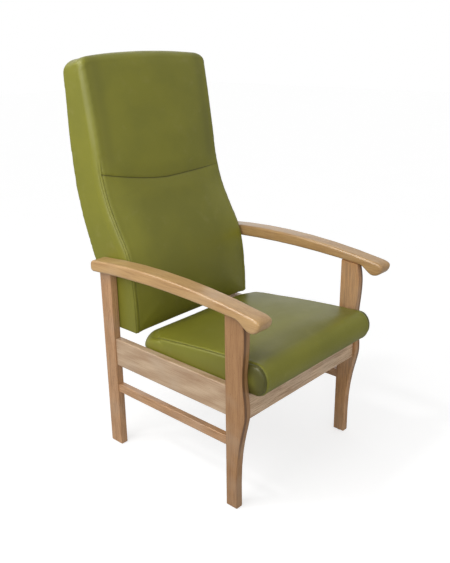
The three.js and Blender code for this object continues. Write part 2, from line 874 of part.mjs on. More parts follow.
function backRing(x, layer) {
  const half = backHalf - layer;
  const inset = half - Math.abs(x);
  const across = x / half;
  const crown = (z) => backMidCrown * crownShare(z) * (1 - across * across);
  const rearFall = layer + edgeFall(backRearRound, inset);
  const lift = backTopCrown * (1 - across * across);
  const cornerFall = edgeFall(backCornerWidth - layer, inset) * backCornerDrop / backCornerWidth;
  const zTop = zBackTop + lift - layer - cornerFall;
  const zLow = zBack + layer + edgeFall(backFootCorner, inset);
  const seamDistance = Math.abs(inset + layer - edgeSeamInset);
  const edgeSink = edgeSeamSink * Math.max(0, 1 - seamDistance / edgeSeamWidth);
  const frontFall = (z) => layer + edgeFall(backRoundAt(z), inset);
  const front = (z, sink) => backFrontLine(z) + frontFall(z) - crown(z) + Math.max(edgeSink, sink);
  const rear = (z) => backRearLine(z) - rearFall;
  const round = backFootRound - layer;
  const topRound = backTopFrontRound - layer;
  const rearRound = backTopRearRound - layer;
  const zFrontLow = zLow + round;
  const zFrontTop = zTop - topRound;
  const zSeam = headSeamAt(x);
  const seamSink = headSeamSink * Math.min(1, inset / backEdgeReach);
  const row = (z, sink = 0) => [front(z, sink), z];
  const between = (from, to) => (share) => row(THREE.MathUtils.lerp(from, to, share));
  const seamLow = zSeam - headSeamWidth;
  const seamHigh = zSeam + headSeamWidth;
  const foot = arcPoints(front(zFrontLow, 0) + round, zFrontLow, round, round, 270, 180, footSteps);
  const yHead = front(zFrontTop, 0) + topRound;
  const head = arcPoints(yHead, zFrontTop, topRound, topRound, 180, 90, cornerSteps);
  const zRearTop = zTop - backTopFall - rearRound;
  const yRearHead = rear(zRearTop) - rearRound;
  const rearHead = arcPoints(yRearHead, zRearTop, rearRound, rearRound, 90, 0, cornerSteps);
  const rearRows = backRows.slice(1, -1).reverse().map((z) => [rear(z), z]);
  const yRearFoot = rear(zFrontLow) - round;
  const rearFoot = arcPoints(yRearFoot, zFrontLow, round, round, 0, -90, lowSteps);
  const ring = [
    ...foot,
    ...lowFrontShares.map(between(zFrontLow, seamLow)),
    row(seamLow), row(zSeam, seamSink), row(seamHigh),
    ...highFrontShares.map(between(seamHigh, zFrontTop)),
    ...head, ...rearHead, ...rearRows, ...rearFoot,
  ];
  const nearSide = inset < backRearRound ? 1 : 0;
  return ring.map(([y, z]) => {
    const draw = nearSide * backDrawIn * drawShare(z, zLow, zTop);
    return [x - Math.sign(x) * draw, y, z];
  });
}

function backForm(layer) {
  const seam = edgeSeamInset - layer;
  const edge = backEdgeShares.map((share) => share * (seam - edgeSeamWidth));
  const insets = [...edge, seam - edgeSeamWidth, seam, seam + edgeSeamWidth, backEdgeReach];
  const places = mirrorPlaces(backHalf - layer, insets, backMiddleShares);
  return skinned(places, (x) => backRing(x, layer));
}

// Seat unit

function seatMemberSide() {
  const xInner = xSeatFrame - seatMemberWidth;
  const member = block(xInner, xSeatFrame, ySeatFrame, ySeatFrameRear, zSeatFrame, zSeatFrameTop);
  const holes = [yFrontScrew, yRearScrew].map((y) => (
    rodZ(screwRadius + fitGap, xScrew, y, zSeatFrame - overrun, zSeatFrame + screwBite + fitGap)
  ));
  return cut(member, [seatTongue(ySeatFrame, fitGap), seatTongue(rearMemberFace, fitGap), ...holes]);
}

function seatTongue(yFrom, gap) {
  const reach = xSeatFrame - seatMemberWidth + seatTongueLength + gap;
  const zMid = (zSeatFrame + zSeatFrameTop) / 2;
  return block(
    -reach, reach,
    yFrom + seatTongueThick - gap, yFrom + seatMemberWidth - seatTongueThick + gap,
    zMid - seatTongueThick / 2 - gap, zMid + seatTongueThick / 2 + gap,
  );
}

function seatMemberAcross(yFrom) {
  const half = xSeatFrame - seatMemberWidth - fitGap;
  const member = block(-half, half, yFrom, yFrom + seatMemberWidth, zSeatFrame, zSeatFrameTop);
  return join(member, [seatTongue(yFrom, 0)]);
}

function seatWeb(share) {
  const half = xSeatFrame - webLap;
  const y = THREE.MathUtils.lerp(ySeatFrame + seatMemberWidth, rearMemberFace, share);
  return block(-half, half, y - webWidth / 2, y + webWidth / 2, zSeatFrameTop + fitGap, zSeatWebTop);
}

function seatFoam() {
  const hollow = block(
    -xSeatFrame - fitGap, xSeatFrame + fitGap,
    ySeatFrame - fitGap, ySeatFrameRear + fitGap,
    zSeat - overrun, zSeatWebTop + fitGap,
  );
  return cut(seatForm(skin), [hollow]);
}

function seatCover() {
  const window = block(
    -xSeatFrame + tuckWidth, xSeatFrame - tuckWidth,
    ySeatFrame + tuckWidth, ySeatFrameRear - tuckWidth,
    zSeat - overrun, zSeatFrame,
  );
  return cut(seatForm(0), [seatForm(coverThick), window]);
}

function seatUnderCloth() {
  const half = xSeatFrame - clothLap;
  const zTop = zSeatFrame - fitGap;
  return block(-half, half, ySeatFrame + clothLap, ySeatFrameRear - clothLap, zTop - clothThick, zTop);
}

// Back unit

function rowsBetween(from, to) {
  return [from, ...backRows.filter((z) => z > from && z < to), to];
}

// The stiles are deeper at the foot, where the bolts pass through them
function stileDepthAt(z) {
  const zFootTop = zHighBolt + stileFootLap;
  const t = THREE.MathUtils.smoothstep(z, zFootTop, zFootTop + stileFootFade);
  return THREE.MathUtils.lerp(stileFootDepth, stileDepth, t);
}

function frameRearAt(z) {
  return backRearLine(z) - frameSetIn;
}

const frameFrontAt = straightened((z) => frameRearAt(z) - stileDepthAt(z), backRows);

function backStile() {
  const rows = rowsBetween(zStile, zStileTop);
  const outline = outlineOf([
    ...rows.map((z) => [frameFrontAt(z), z]),
    ...rows.toReversed().map((z) => [frameRearAt(z), z]),
  ]);
  const holes = boltPlaces.map(([y, z]) => (
    rodX(insertRadius + fitGap, xStileInner - overrun, xStileOuter + overrun, y, z)
  ));
  const mortises = [zStile, zMidRail, zHeadRail].map((z) => backRailTenonSolid(z, fitGap));
  return cut(acrossX(outline, xStileInner, xStileOuter), [...holes, ...mortises]);
}

function backRailSection(zFrom, zTo, front, rear) {
  return outlineOf([
    [frameRearAt(zFrom) - front, zFrom],
    [frameRearAt(zFrom) - rear, zFrom],
    [frameRearAt(zTo) - rear, zTo],
    [frameRearAt(zTo) - front, zTo],
  ]);
}

function backRailTenonSolid(zFrom, gap) {
  const inset = backTenonInset - gap;
  const zTo = zFrom + backRailHeight - inset;
  const front = backRailSetIn + backRailThick - inset;
  const outline = backRailSection(zFrom + inset, zTo, front, backRailSetIn + inset);
  const reach = xStileInner + backRailTenon + gap;
  return acrossX(outline, -reach, reach);
}

function backRail(zFrom) {
  const half = xStileInner - fitGap;
  const front = backRailSetIn + backRailThick;
  const outline = backRailSection(zFrom, zFrom + backRailHeight, front, backRailSetIn);
  return join(acrossX(outline, -half, half), [backRailTenonSolid(zFrom, 0)]);
}

// A strip that follows the front edges of the stiles
function backWeb(share) {
  const zMid = THREE.MathUtils.lerp(zStile, zStileTop, share);
  const rows = rowsBetween(zMid - webWidth / 2, zMid + webWidth / 2);
  const outline = outlineOf([
    ...rows.map((z) => [frameFrontAt(z) - fitGap - webThick - fitGap, z]),
    ...rows.toReversed().map((z) => [frameFrontAt(z) - 2 * fitGap, z]),
  ]);
  const half = xStileOuter - webLap;
  return acrossX(outline, -half, half);
}

function boltHoles() {
  return boltPlaces.flatMap(([y, z]) => [
    rodX(boltRadius + fitGap, xStileInner, backHalf + overrun, y, z),
    rodX(boltRadius + fitGap, -backHalf - overrun, -xStileInner, y, z),
  ]);
}

function backFoam() {
  const webFront = (z) => frameFrontAt(z) - webThick - 4 * fitGap;
  const zFrom = zStile - fitGap;
  const zTo = zStileTop + fitGap;
  const rows = rowsBetween(zFrom, zTo);
  const outline = outlineOf([
    ...rows.map((z) => [webFront(z), z]),
    [yBackRear + backRearLean + overrun, zTo],
    [yBackRear + backRearLean + overrun, zFrom],
  ]);
  const hollow = acrossX(outline, -xStileOuter - fitGap, xStileOuter + fitGap);
  return cut(backForm(skin), [hollow, ...boltHoles()]);
}

function panelOutline(outer, inner, gap) {
  const rows = rowsBetween(zPanel + gap, zPanelTop - gap);
  return outlineOf([
    ...rows.map((z) => [backRearLine(z) - inner, z]),
    ...rows.toReversed().map((z) => [backRearLine(z) - outer, z]),
  ]);
}

function backCover() {
  const half = backHalf - rearPanelMargin;
  const window = acrossX(panelOutline(-overrun, rearPanelThick + overrun, 0), -half, half);
  return cut(backForm(0), [backForm(coverThick), window, ...boltHoles()]);
}

function backRearPanel() {
  const half = backHalf - rearPanelMargin - fitGap;
  return acrossX(panelOutline(0, rearPanelThick, fitGap), -half, half);
}

// Back fixing

function backBolt([y, z]) {
  const headOuter = xLegOuter - plugLength - fitGap;
  const headInner = headOuter - boltHeadThick;
  const tip = xStileInner - insertFlangeThick;
  return turnedX([
    [0, tip],
    [boltRadius, tip],
    [boltRadius, headInner],
    [boltHeadRadius, headInner],
    [boltHeadRadius, headOuter],
    [0, headOuter],
  ]).translate(0, y, z);
}

function boltPlug([y, z]) {
  return rodX(boltHeadRadius, xLegOuter - plugLength, xLegOuter, y, z);
}

function boltInsert([y, z]) {
  const bore = boltRadius + fitGap;
  const face = xStileInner - fitGap;
  return turnedX([
    [bore, face - insertFlangeThick],
    [insertFlange, face - insertFlangeThick],
    [insertFlange, face],
    [insertRadius, face],
    [insertRadius, face + insertLength],
    [bore, face + insertLength],
    [bore, face - insertFlangeThick],
  ]).translate(0, y, z);
}

// The assembly

const chair = new THREE.Group();

function add(name, geometry, material) {
  const mesh = new THREE.Mesh(closedMesh(geometry), material);
  mesh.name = name;
  chair.add(mesh);
}

function addPair(name, geometry, material) {
  add(`${name}_right`, geometry, material);
  add(`${name}_left`, mirrored(geometry), material);
}

addPair('front_leg', frontLeg(), beech);
addPair('rear_leg', rearLeg(), beech);
addPair('arm', arm(), beech);
addPair('side_rail', sideRail(), beech);
addPair('side_stretcher', sideStretcher(), beech);
add('front_rail', frontRail(), beech);
add('rear_cross_rail', rearCrossRail(), beech);
addPair('corner_block_front', frontBlock(), beech);
addPair('corner_block_rear', rearBlock(), beech);
addPair('glide_front', glide(yFrontGlide), nylon);
addPair('glide_rear', glide(yRearGlide), nylon);

addPair('seat_member', seatMemberSide(), plywood);
add('seat_member_front', seatMemberAcross(ySeatFrame), plywood);
add('seat_member_rear', seatMemberAcross(rearMemberFace), plywood);
seatWebShares.forEach((share, i) => add(`seat_web_${i + 1}`, seatWeb(share), webbing));
add('seat_foam', seatFoam(), foam);
add('seat_cover', seatCover(), vinyl);
add('seat_under_cloth', seatUnderCloth(), cloth);
addPair('seat_screw_front', seatScrew(yFrontScrew), steel);
addPair('seat_screw_rear', seatScrew(yRearScrew), steel);

addPair('back_stile', backStile(), plywood);
add('back_rail_bottom', backRail(zStile), plywood);
add('back_rail_middle', backRail(zMidRail), plywood);
add('back_rail_top', backRail(zHeadRail), plywood);
backWebShares.forEach((share, i) => add(`back_web_${i + 1}`, backWeb(share), webbing));
add('back_foam', backFoam(), foam);
add('back_cover', backCover(), vinyl);
add('back_rear_panel', backRearPanel(), vinyl);
['low', 'high'].forEach((level, i) => {
  addPair(`back_bolt_${level}`, backBolt(boltPlaces[i]), steel);
  addPair(`bolt_plug_${level}`, boltPlug(boltPlaces[i]), beech);
  addPair(`bolt_insert_${level}`, boltInsert(boltPlaces[i]), steel);
});

// The origin goes to the middle of the footprint of the whole chair, on the floor
const zRearMost = zBackTop + backTopCrown - backTopFall - backTopRearRound;
const yRearMost = backRearLine(zRearMost);
chair.position.y = -(yScroll + yRearMost) / 2;

export default chair;
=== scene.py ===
"""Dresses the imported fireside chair: beech frame, vinyl seat and back, fixings and a plain stage."""

import math

import bmesh
import bpy
import numpy as np
from bpy.props import FloatProperty, FloatVectorProperty, IntProperty, PointerProperty
from mathutils import Matrix, Vector


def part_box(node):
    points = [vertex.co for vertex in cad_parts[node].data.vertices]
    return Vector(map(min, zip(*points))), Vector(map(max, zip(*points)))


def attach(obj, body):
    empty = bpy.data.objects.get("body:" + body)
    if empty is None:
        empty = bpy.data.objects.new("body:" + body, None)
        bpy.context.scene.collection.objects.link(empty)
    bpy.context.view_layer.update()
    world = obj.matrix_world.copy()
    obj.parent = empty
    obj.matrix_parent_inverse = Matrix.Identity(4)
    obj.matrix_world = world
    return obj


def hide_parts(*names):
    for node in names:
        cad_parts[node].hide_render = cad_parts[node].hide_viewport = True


bl_info = {
    "name": "Upholstered fireside chair",
    "version": (1, 0, 0),
    "blender": (4, 5, 0),
    "location": "View3D > Sidebar > Fireside chair",
    "description": "High-back fireside chair with a beech frame and a vinyl seat and back",
    "category": "Add Mesh",
}

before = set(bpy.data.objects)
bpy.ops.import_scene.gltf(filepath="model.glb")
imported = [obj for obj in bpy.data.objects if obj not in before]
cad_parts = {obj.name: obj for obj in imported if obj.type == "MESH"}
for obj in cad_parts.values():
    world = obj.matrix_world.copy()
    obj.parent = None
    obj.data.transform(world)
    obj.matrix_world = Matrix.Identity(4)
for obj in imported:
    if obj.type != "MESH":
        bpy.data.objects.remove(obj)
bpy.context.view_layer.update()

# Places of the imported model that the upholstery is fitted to, in metres

seat_low, seat_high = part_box("seat_cover")
back_low, back_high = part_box("back_cover")
panel_low, panel_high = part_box("back_rear_panel")
seat_frame_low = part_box("seat_member_front")[0]
seat_side_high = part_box("seat_member_right")[1]
seat_web_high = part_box("seat_web_1")[1]
stile_low, stile_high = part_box("back_stile_right")
leg_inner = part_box("rear_leg_right")[0].x

# The back's outline is kept as shares of its height and of its lean, as it leaves the seat

front_height_shares = (0, 0.09, 0.17, 0.25, 0.32, 0.39, 0.48, 0.58, 0.7, 0.85, 1)
front_lean_shares = (0, 0.005, 0.03, 0.075, 0.165, 0.335, 0.54, 0.68, 0.76, 0.87, 1)
rear_height_shares = (0, 0.26, 0.375, 0.47, 0.55, 0.65, 0.8, 1)
rear_lean_shares = (0, 0.476, 0.69, 0.825, 0.9, 0.952, 0.985, 1)
back_row_shares = (0, 0.08, 0.21, 0.32, 0.42, 0.53, 0.68, 0.86, 1)
edge_round_height_shares = (0, 0.19, 0.36, 0.7, 1)
edge_round_shares = (0.17, 0.31, 0.96, 0.88, 0.77)

# Rounds and rises of the seat, in metres

SEAT_EDGE_ROUND = 0.007
SEAT_NOSE_DEPTH = 0.036
SEAT_REAR_ROUND = 0.022
SEAT_REAR_RUN_OUT = 0.030
SEAT_BASE_ROUND = 0.005
SEAT_SINK = 0.014
SEAT_EDGE_SHARE = 0.3

# The seat's right rear corner is a little fuller and its left one has sunk

SEAT_FULL_CORNER = 0.004
SEAT_FULL_CORNER_SHARES = (0.7, 0.95)
SEAT_CORNER_FALL = 0.018
SEAT_CORNER_RUN_OUT = 0.030
SUNK_CORNER_INSETS = (0.020, 0.035)
SUNK_CORNER_REACH = 0.07
SUNK_CORNER_SEAM_END = (0.06, 0.10)

# The seat's sides, and its end caps in front of the legs: how far they are drawn in, swell or sink.
# SEAT_CAP_START is that far behind the seat's foremost line, and SEAT_CAP_FREE and SEAT_CAP_SINK_PLACE
# are distances ahead of it. The edges are distances out from the seat's side.

SEAT_DRAW_IN = 0.0035
SEAT_DRAW_IN_EDGE = (-0.014, -0.002)
SEAT_CAP_START = 0.079
SEAT_CAP_BULGE = 0.005
SEAT_CAP_RISE = 0.022
SEAT_CAP_EDGE = (-0.008, -0.002)
SEAT_CAP_FREE = (0.012, 0.022)
SEAT_CAP_SINK = 0.004
SEAT_CAP_SINK_PLACE = 0.006
SEAT_CAP_SINK_WIDTH = 0.008
SEAM_DROP = 0.004

# Rounds and rises of the back, in metres

BACK_REAR_ROUND = 0.004
BACK_CROWN_FADE = 0.200
BACK_TOP_CROWN = 0.011
BACK_TOP_FALL = 0.009
BACK_CORNER_WIDTH = 0.040
BACK_CORNER_DROP = 0.026
BACK_TOP_FRONT_ROUND = 0.020
BACK_TOP_REAR_ROUND = 0.016
BACK_FOOT_ROUND = 0.004
BACK_FOOT_CORNER = 0.001
BACK_LAYER_INSET = 0.03
BACK_ROOF_START_SLOPE = 0.6

# The back's edge seams: how far they lie below its top, the round in which they turn there, and the
# heights between which they move in towards the headrest

TOP_SEAM_DROP = 0.013
TOP_SEAM_SLOPE = 0.17
TOP_SEAM_SLOPE_REACH = 0.01
EDGE_SEAM_TURN = 0.016
EDGE_SEAM_RISE = (0.47, 0.57)

# How cushions are held and let swell: distances from seams, bases and sides between which that fades,
# and the room that they keep to the legs

SEAM_HOLD = (0.007, 0.002)
SEAT_BASE_HOLD = (0.012, 0.008)
SEAT_SWELL_INSETS = (0.006, 0.026)
SEAT_LEAST_SWELL = 0.0015
BACK_REAR_HOLD = (-0.012, -0.006)
BACK_TOP_FREE = 0.04
BACK_SWELL_INSETS = (0.004, 0.024)
BACK_LEAST_SWELL = 0.002
BACK_VOXEL_SHARE = 7 / 6
SEAT_LEG_ROOM = 0.0007
BACK_LEG_ROOM = 0.0005

# Painted shade on the vinyl, at its strongest in each place, from 0 to 1; the end caps' lighter middle
# is a painted highlight

PAINTED_SHADE_CAP = 0.76
PAINTED_HIGHLIGHT_CAP_MIDDLE = 0.34
PAINTED_SHADOW_BESIDE_LEG = 0.96
PAINTED_SHADE_BEHIND_LEG = 0.24
PAINTED_SHADE_SEAT_RIGHT = 0.22
PAINTED_SHADE_SEAT_FRONT = 0.34
PAINTED_SHADE_BACK_FOOT = 0.16
PAINTED_SHADE_HEAD_EDGE = 0.20
PAINTED_SHADE_LUMBAR = 0.15

# Hollows: the room kept round the pieces inside, and what the covers fold in round the frames

SPARE = 0.0003
SEAT_TUCK = 0.012
REAR_SHELL = 0.0033
STILE_DEPTHS = (0.078, 0.050)
STILE_TAPER = (0.036, 0.146)
STILE_ROOM = 0.0035
REAR_ROOM = 0.0016
PANEL_ROOM = 0.004
PAST_OUTSIDE = 0.02
BOLT_HOLE_RADIUS = 0.0044

# Thin pieces

CLOTH_THICKNESS = 0.0004
CLOTH_SAG = 0.0006
CLOTH_RIPPLE = 0.0003
PANEL_ROUND = 0.0022
PANEL_THICKNESS = 0.0026

# Copies of wooden parts: edges that turn by less than this are smooth, points this close are one

SMOOTH_EDGE = math.radians(50)
MERGE_DISTANCE = 0.00002

# The studio. Shiny surfaces see a bright screen behind the chair and another high on its left, in these
# directions, each as the range of nearness and the range of brightness that it gives.

BRIGHT_SCREEN = (0.60, 0.72, 0.35)
BRIGHT_SCREEN_GLOW = (0.0, 0.9, 0.36, 0.72)
BRIGHT_SCREEN_CORE = (0.86, 1.0, 0.0, 0.40)
ARRIS_SCREEN = (-0.49, 0.40, 0.77)
ARRIS_SCREEN_GLOW = (0.87, 0.96, 0.0, 5.0)
WORLD_LIGHT = 0.48
FLOOR_GLOW = 0.66
FLOOR_HALF = 14
SENSOR_WIDTH = 36

# The camera stands where the photograph was taken from

camera_place = Vector((-1.47439, -1.34914, 1.24488))
camera_azimuth = math.radians(-47.57)
camera_elevation = math.radians(19.59)
camera_roll = math.radians(-0.65)
photo_size = (450, 563)
focal_pixels = 686.92


class UpholsterySizes(bpy.types.PropertyGroup):
    seat_front: FloatProperty(
        name="Seat front thickness", description="Height of the seat's front edge above its base",
        default=0.094, min=0.05, max=0.15, unit="LENGTH")
    seat_rear: FloatProperty(
        name="Seat rear thickness", description="Height of the seat's rear edge above its base",
        default=0.044, min=0.02, max=0.1, unit="LENGTH")
    seat_side_crown: FloatProperty(
        name="Seat side crown", description="Rise of the seat's side edges between nose and rear",
        default=0.008, min=0, max=0.03, unit="LENGTH")
    seat_mid_crown: FloatProperty(
        name="Seat middle crown", description="Further rise of the seat along its middle",
        default=0.007, min=0, max=0.03, unit="LENGTH")
    seat_corner: FloatProperty(
        name="Seat rear corner", description="Radius of the seat's rear corners seen from above",
        default=0.066, min=0.02, max=0.12, unit="LENGTH")
    seat_swell: FloatProperty(
        name="Seat swell", description="How far the seat's padding may swell between its seams",
        default=0.006, min=0, max=0.02, unit="LENGTH")
    back_lean: FloatProperty(
        name="Back lean", description="How far the top of the back's front lies behind its foot",
        default=0.178, min=0.05, max=0.4, unit="LENGTH")
    back_rear_lean: FloatProperty(
        name="Back rear lean", description="How far the top of the back's rear lies behind its foot",
        default=0.164, min=0.05, max=0.4, unit="LENGTH")
    back_mid_crown: FloatProperty(
        name="Back middle crown", description="Rise of the back's front along its middle",
        default=0.008, min=0, max=0.03, unit="LENGTH")
    back_swell: FloatProperty(
        name="Back swell", description="How far the back's padding may swell between its seams",
        default=0.006, min=0, max=0.02, unit="LENGTH")
    edge_seam_inset: FloatProperty(
        name="Edge seam inset",
        description="Distance of the back's edge seams from its sides, at the headrest",
        default=0.014, min=0.005, max=0.06, unit="LENGTH")
    low_edge_seam_inset: FloatProperty(
        name="Low edge seam inset",
        description="Distance of the edge seams from the sides, below the headrest",
        default=0.0085, min=0.003, max=0.06, unit="LENGTH")
    twin_seam: FloatProperty(
        name="Twin seam spacing", description="Distance between the two stitched lines of an edge seam",
        default=0.012, min=0.002, max=0.03, unit="LENGTH")
    edge_reach: FloatProperty(
        name="Edge reach", description="Greatest radius of the back's front edges",
        default=0.026, min=0.005, max=0.04, unit="LENGTH")
    head_seam_height: FloatProperty(
        name="Headrest seam height", description="Height of the headrest seam above the back's foot",
        default=0.430, min=0.3, max=0.6, unit="LENGTH")
    head_seam_rise_left: FloatProperty(
        name="Headrest seam rise, left", description="How far that seam rises to its left end",
        default=0.040, min=0, max=0.08, unit="LENGTH")
    head_seam_rise_right: FloatProperty(
        name="Headrest seam rise, right", description="How far that seam rises to its right end",
        default=0.009, min=0, max=0.08, unit="LENGTH")
    seam_width: FloatProperty(
        name="Seam width", description="Half width of the furrow along a seam",
        default=0.004, min=0.001, max=0.01, unit="LENGTH")
    seam_depth: FloatProperty(
        name="Seam depth", description="Depth of the furrow along a seam",
        default=0.0026, min=0, max=0.006, unit="LENGTH")
    pucker: FloatProperty(
        name="Pucker height", description="Height of the small gathers beside a seam",
        default=0.0007, min=0, max=0.003, unit="LENGTH")
    voxel: FloatProperty(
        name="Padding voxel", description="Edge length of the mesh that the padding is swollen on",
        default=0.006, min=0.003, max=0.02, unit="LENGTH")
    frames: IntProperty(
        name="Swelling steps", description="Steps for which the padding is let swell",
        default=20, min=1, max=60)


class FinishColours(bpy.types.PropertyGroup):
    vinyl: FloatVectorProperty(
        name="Vinyl", description="Olive green of the covers", subtype="COLOR", size=3,
        default=(0.232, 0.226, 0.021), min=0, max=1)
    vinyl_shade: FloatVectorProperty(
        name="Vinyl shade", description="Deeper olive in the vinyl's clouding", subtype="COLOR", size=3,
        default=(0.192, 0.190, 0.019), min=0, max=1)
    # The seam shadow colour is also what the vinyl's painted shade on caps, sides and back darkens to.
    seam: FloatVectorProperty(
        name="Seam shadow", description="Dark line inside a seam", subtype="COLOR", size=3,
        default=(0.045, 0.040, 0.010), min=0, max=1)
    beech: FloatVectorProperty(
        name="Beech", description="Pale ground of the beech", subtype="COLOR", size=3,
        default=(0.430, 0.232, 0.100), min=0, max=1)
    beech_grain: FloatVectorProperty(
        name="Beech grain", description="Darker lines of the beech", subtype="COLOR", size=3,
        default=(0.270, 0.128, 0.050), min=0, max=1)
    arm: FloatVectorProperty(
        name="Arm beech", description="Warmer ground of the arms", subtype="COLOR", size=3,
        default=(0.560, 0.350, 0.152), min=0, max=1)
    rail: FloatVectorProperty(
        name="Rail beech", description="Pale ground of the broad side rails", subtype="COLOR", size=3,
        default=(0.590, 0.430, 0.282), min=0, max=1)
    rear_leg: FloatVectorProperty(
        name="Rear leg beech", description="Ground of the rear legs and stretchers",
        subtype="COLOR", size=3,
        default=(0.580, 0.335, 0.172), min=0, max=1)
    plywood: FloatVectorProperty(
        name="Plywood", description="Face veneer of the hidden frames", subtype="COLOR", size=3,
        default=(0.560, 0.390, 0.210), min=0, max=1)
    webbing: FloatVectorProperty(
        name="Webbing", description="Dark yarn of the rubber webbing", subtype="COLOR", size=3,
        default=(0.024, 0.022, 0.020), min=0, max=1)
    cloth: FloatVectorProperty(
        name="Under cloth", description="Black cloth under the seat", subtype="COLOR", size=3,
        default=(0.012, 0.012, 0.012), min=0, max=1)
    steel: FloatVectorProperty(
        name="Zinc plated steel", description="Bolts, screws and inserts", subtype="COLOR", size=3,
        default=(0.560, 0.570, 0.580), min=0, max=1)
    nylon: FloatVectorProperty(
        name="Nylon", description="Glides under the feet", subtype="COLOR", size=3,
        default=(0.045, 0.036, 0.032), min=0, max=1)


def sizes():
    return bpy.context.scene.fireside_sizes


def colours():
    return bpy.context.scene.fireside_colours


# Node trees

def new_material(name):
    material = bpy.data.materials.new(name)
    material.use_nodes = True
    tree = material.node_tree
    tree.nodes.clear()
    output = tree.nodes.new("ShaderNodeOutputMaterial")
    shader = tree.nodes.new("ShaderNodeBsdfPrincipled")
    tree.links.new(shader.outputs[0], output.inputs["Surface"])
    return material, tree, shader


def put(tree, kind, inputs=(), **settings):
    """Adds a node, sets its properties and fills its inputs with links or values."""
    node = tree.nodes.new(kind)
    for key, value in settings.items():
        setattr(node, key, value)
    for key, value in dict(inputs).items():
        socket = node.inputs[key]
        if isinstance(value, bpy.types.NodeSocket):
            tree.links.new(value, socket)
        else:
            socket.default_value = value
    return node


def times(tree, first, second):
    return maths(tree, "MULTIPLY", first, second)


def maths(tree, operation, first, second=0.0, clamp=False):
    node = put(tree, "ShaderNodeMath", {0: first, 1: second}, operation=operation, use_clamp=clamp)
    return node.outputs[0]


def spread(tree, value, low, high, to_low=0.0, to_high=1.0):
    """A value's range from low to high, turned smoothly into another one."""
    node = put(tree, "ShaderNodeMapRange", {
        "Value": value, "From Min": low, "From Max": high, "To Min": to_low, "To Max": to_high,
    }, interpolation_type="SMOOTHSTEP")
    return node.outputs["Result"]


def blended(tree, share, first, second):
    def colour(value):
        return value if isinstance(value, bpy.types.NodeSocket) else (*value, 1.0)
    node = put(tree, "ShaderNodeMix", data_type="RGBA", blend_type="MIX")
    for index, value in ((0, share), (6, colour(first)), (7, colour(second))):
        if isinstance(value, bpy.types.NodeSocket):
            tree.links.new(value, node.inputs[index])
        else:
            node.inputs[index].default_value = value
    return node.outputs[2]


def placed(tree, scale=(1, 1, 1), location=(0, 0, 0)):
    """Object coordinates, stretched and moved for a pattern."""
    place = put(tree, "ShaderNodeTexCoord").outputs["Object"]
    node = put(tree, "ShaderNodeMapping", {"Vector": place, "Scale": scale, "Location": location})
    return node.outputs[0]


def attribute(tree, name):
    return put(tree, "ShaderNodeAttribute", attribute_name=name).outputs["Fac"]


def waves(tree, vector, scale, axis, distortion, detail=2.0):
    """Even bands across one axis."""
    return put(tree, "ShaderNodeTexWave", {
        "Vector": vector, "Scale": scale, "Distortion": distortion, "Detail": detail,
    }, wave_type="BANDS", bands_direction=axis).outputs["Fac"]


def towards(tree, direction):
    """How nearly what is seen lies in the given direction."""
    return put(tree, "ShaderNodeVectorMath", {0: placed(tree), 1: direction},
               operation="DOT_PRODUCT").outputs["Value"]


def noise(tree, vector, scale, detail=3.0, roughness=0.5, distortion=0.0):
    node = put(tree, "ShaderNodeTexNoise", {
        "Vector": vector, "Scale": scale, "Detail": detail, "Roughness": roughness,
        "Distortion": distortion,
    })
    return node.outputs["Fac"]


def raised(tree, height, distance, strength=1.0, under=None):
    inputs = {"Height": height, "Distance": distance, "Strength": strength}
    if under is not None:
        inputs["Normal"] = under
    return put(tree, "ShaderNodeBump", inputs).outputs[0]


def set_shader(shader, tree, **values):
    """Links or sets the sockets that are named with a low line for each space."""
    for key, value in values.items():
        socket = shader.inputs[key.replace("_", " ")]
        if isinstance(value, bpy.types.NodeSocket):
            tree.links.new(value, socket)
        else:
            socket.default_value = value


# Finishes

def beech_finish(name, ground, grain, along, lines=0.5, figure=0.35, seed=0.0, outer_face=None):
    """Lacquered beech whose grain runs along the given axis: fine lines and flecks as strong as lines,
    broad figure as strong as figure. A front leg is darker in a band along its outer arris."""
    material, tree, shader = new_material(name)
    offset = (seed, seed * 1.7, seed * 0.6)

    def drawn_out(share):
        scale = [1.0, 1.0, 1.0]
        scale[along] = share
        return placed(tree, scale, offset)
    streaks = noise(tree, drawn_out(0.045), 330, 6, 0.66)
    bands = noise(tree, drawn_out(0.045), 34, 3, 0.55, 0.4)
    rings = put(tree, "ShaderNodeTexWave", {
        "Vector": drawn_out(0.13), "Scale": 16, "Distortion": 7, "Detail": 2.5, "Detail Scale": 1.4,
    }, wave_type="RINGS", rings_direction="SPHERICAL").outputs["Fac"]
    flecks = noise(tree, drawn_out(0.16), 900, 1, 0.5)
    tone = times(tree, spread(tree, bands, 0.35, 0.75), 0.30)
    tone = maths(tree, "ADD", tone, times(tree, spread(tree, streaks, 0.44, 0.64), lines))
    tone = maths(tree, "ADD", tone, times(tree, rings, figure * 0.4), clamp=True)
    base = blended(tree, tone, ground, grain)
    fleck_share = spread(tree, flecks, 0.62, 0.74, 0.0, lines)
    base = blended(tree, fleck_share, base, [0.62 * part for part in grain])
    patches = noise(tree, placed(tree, location=offset), 9, 2)
    base = blended(tree, spread(tree, patches, 0.45, 0.7, 0.0, 0.22), base, (0.50, 0.40, 0.30))
    if outer_face:
        band = outer_arris(tree, outer_face)
        base = blended(tree, band, base, (0.105, 0.045, 0.017))
    rough = spread(tree, streaks, 0.3, 0.8, 0.36, 0.5)
    normal = raised(tree, streaks, 0.00022, 0.35)
    set_shader(shader, tree, Base_Color=base, Roughness=rough, Normal=normal,
               Coat_Weight=0.50, Coat_Roughness=0.16, Specular_IOR_Level=0.25)
    return material


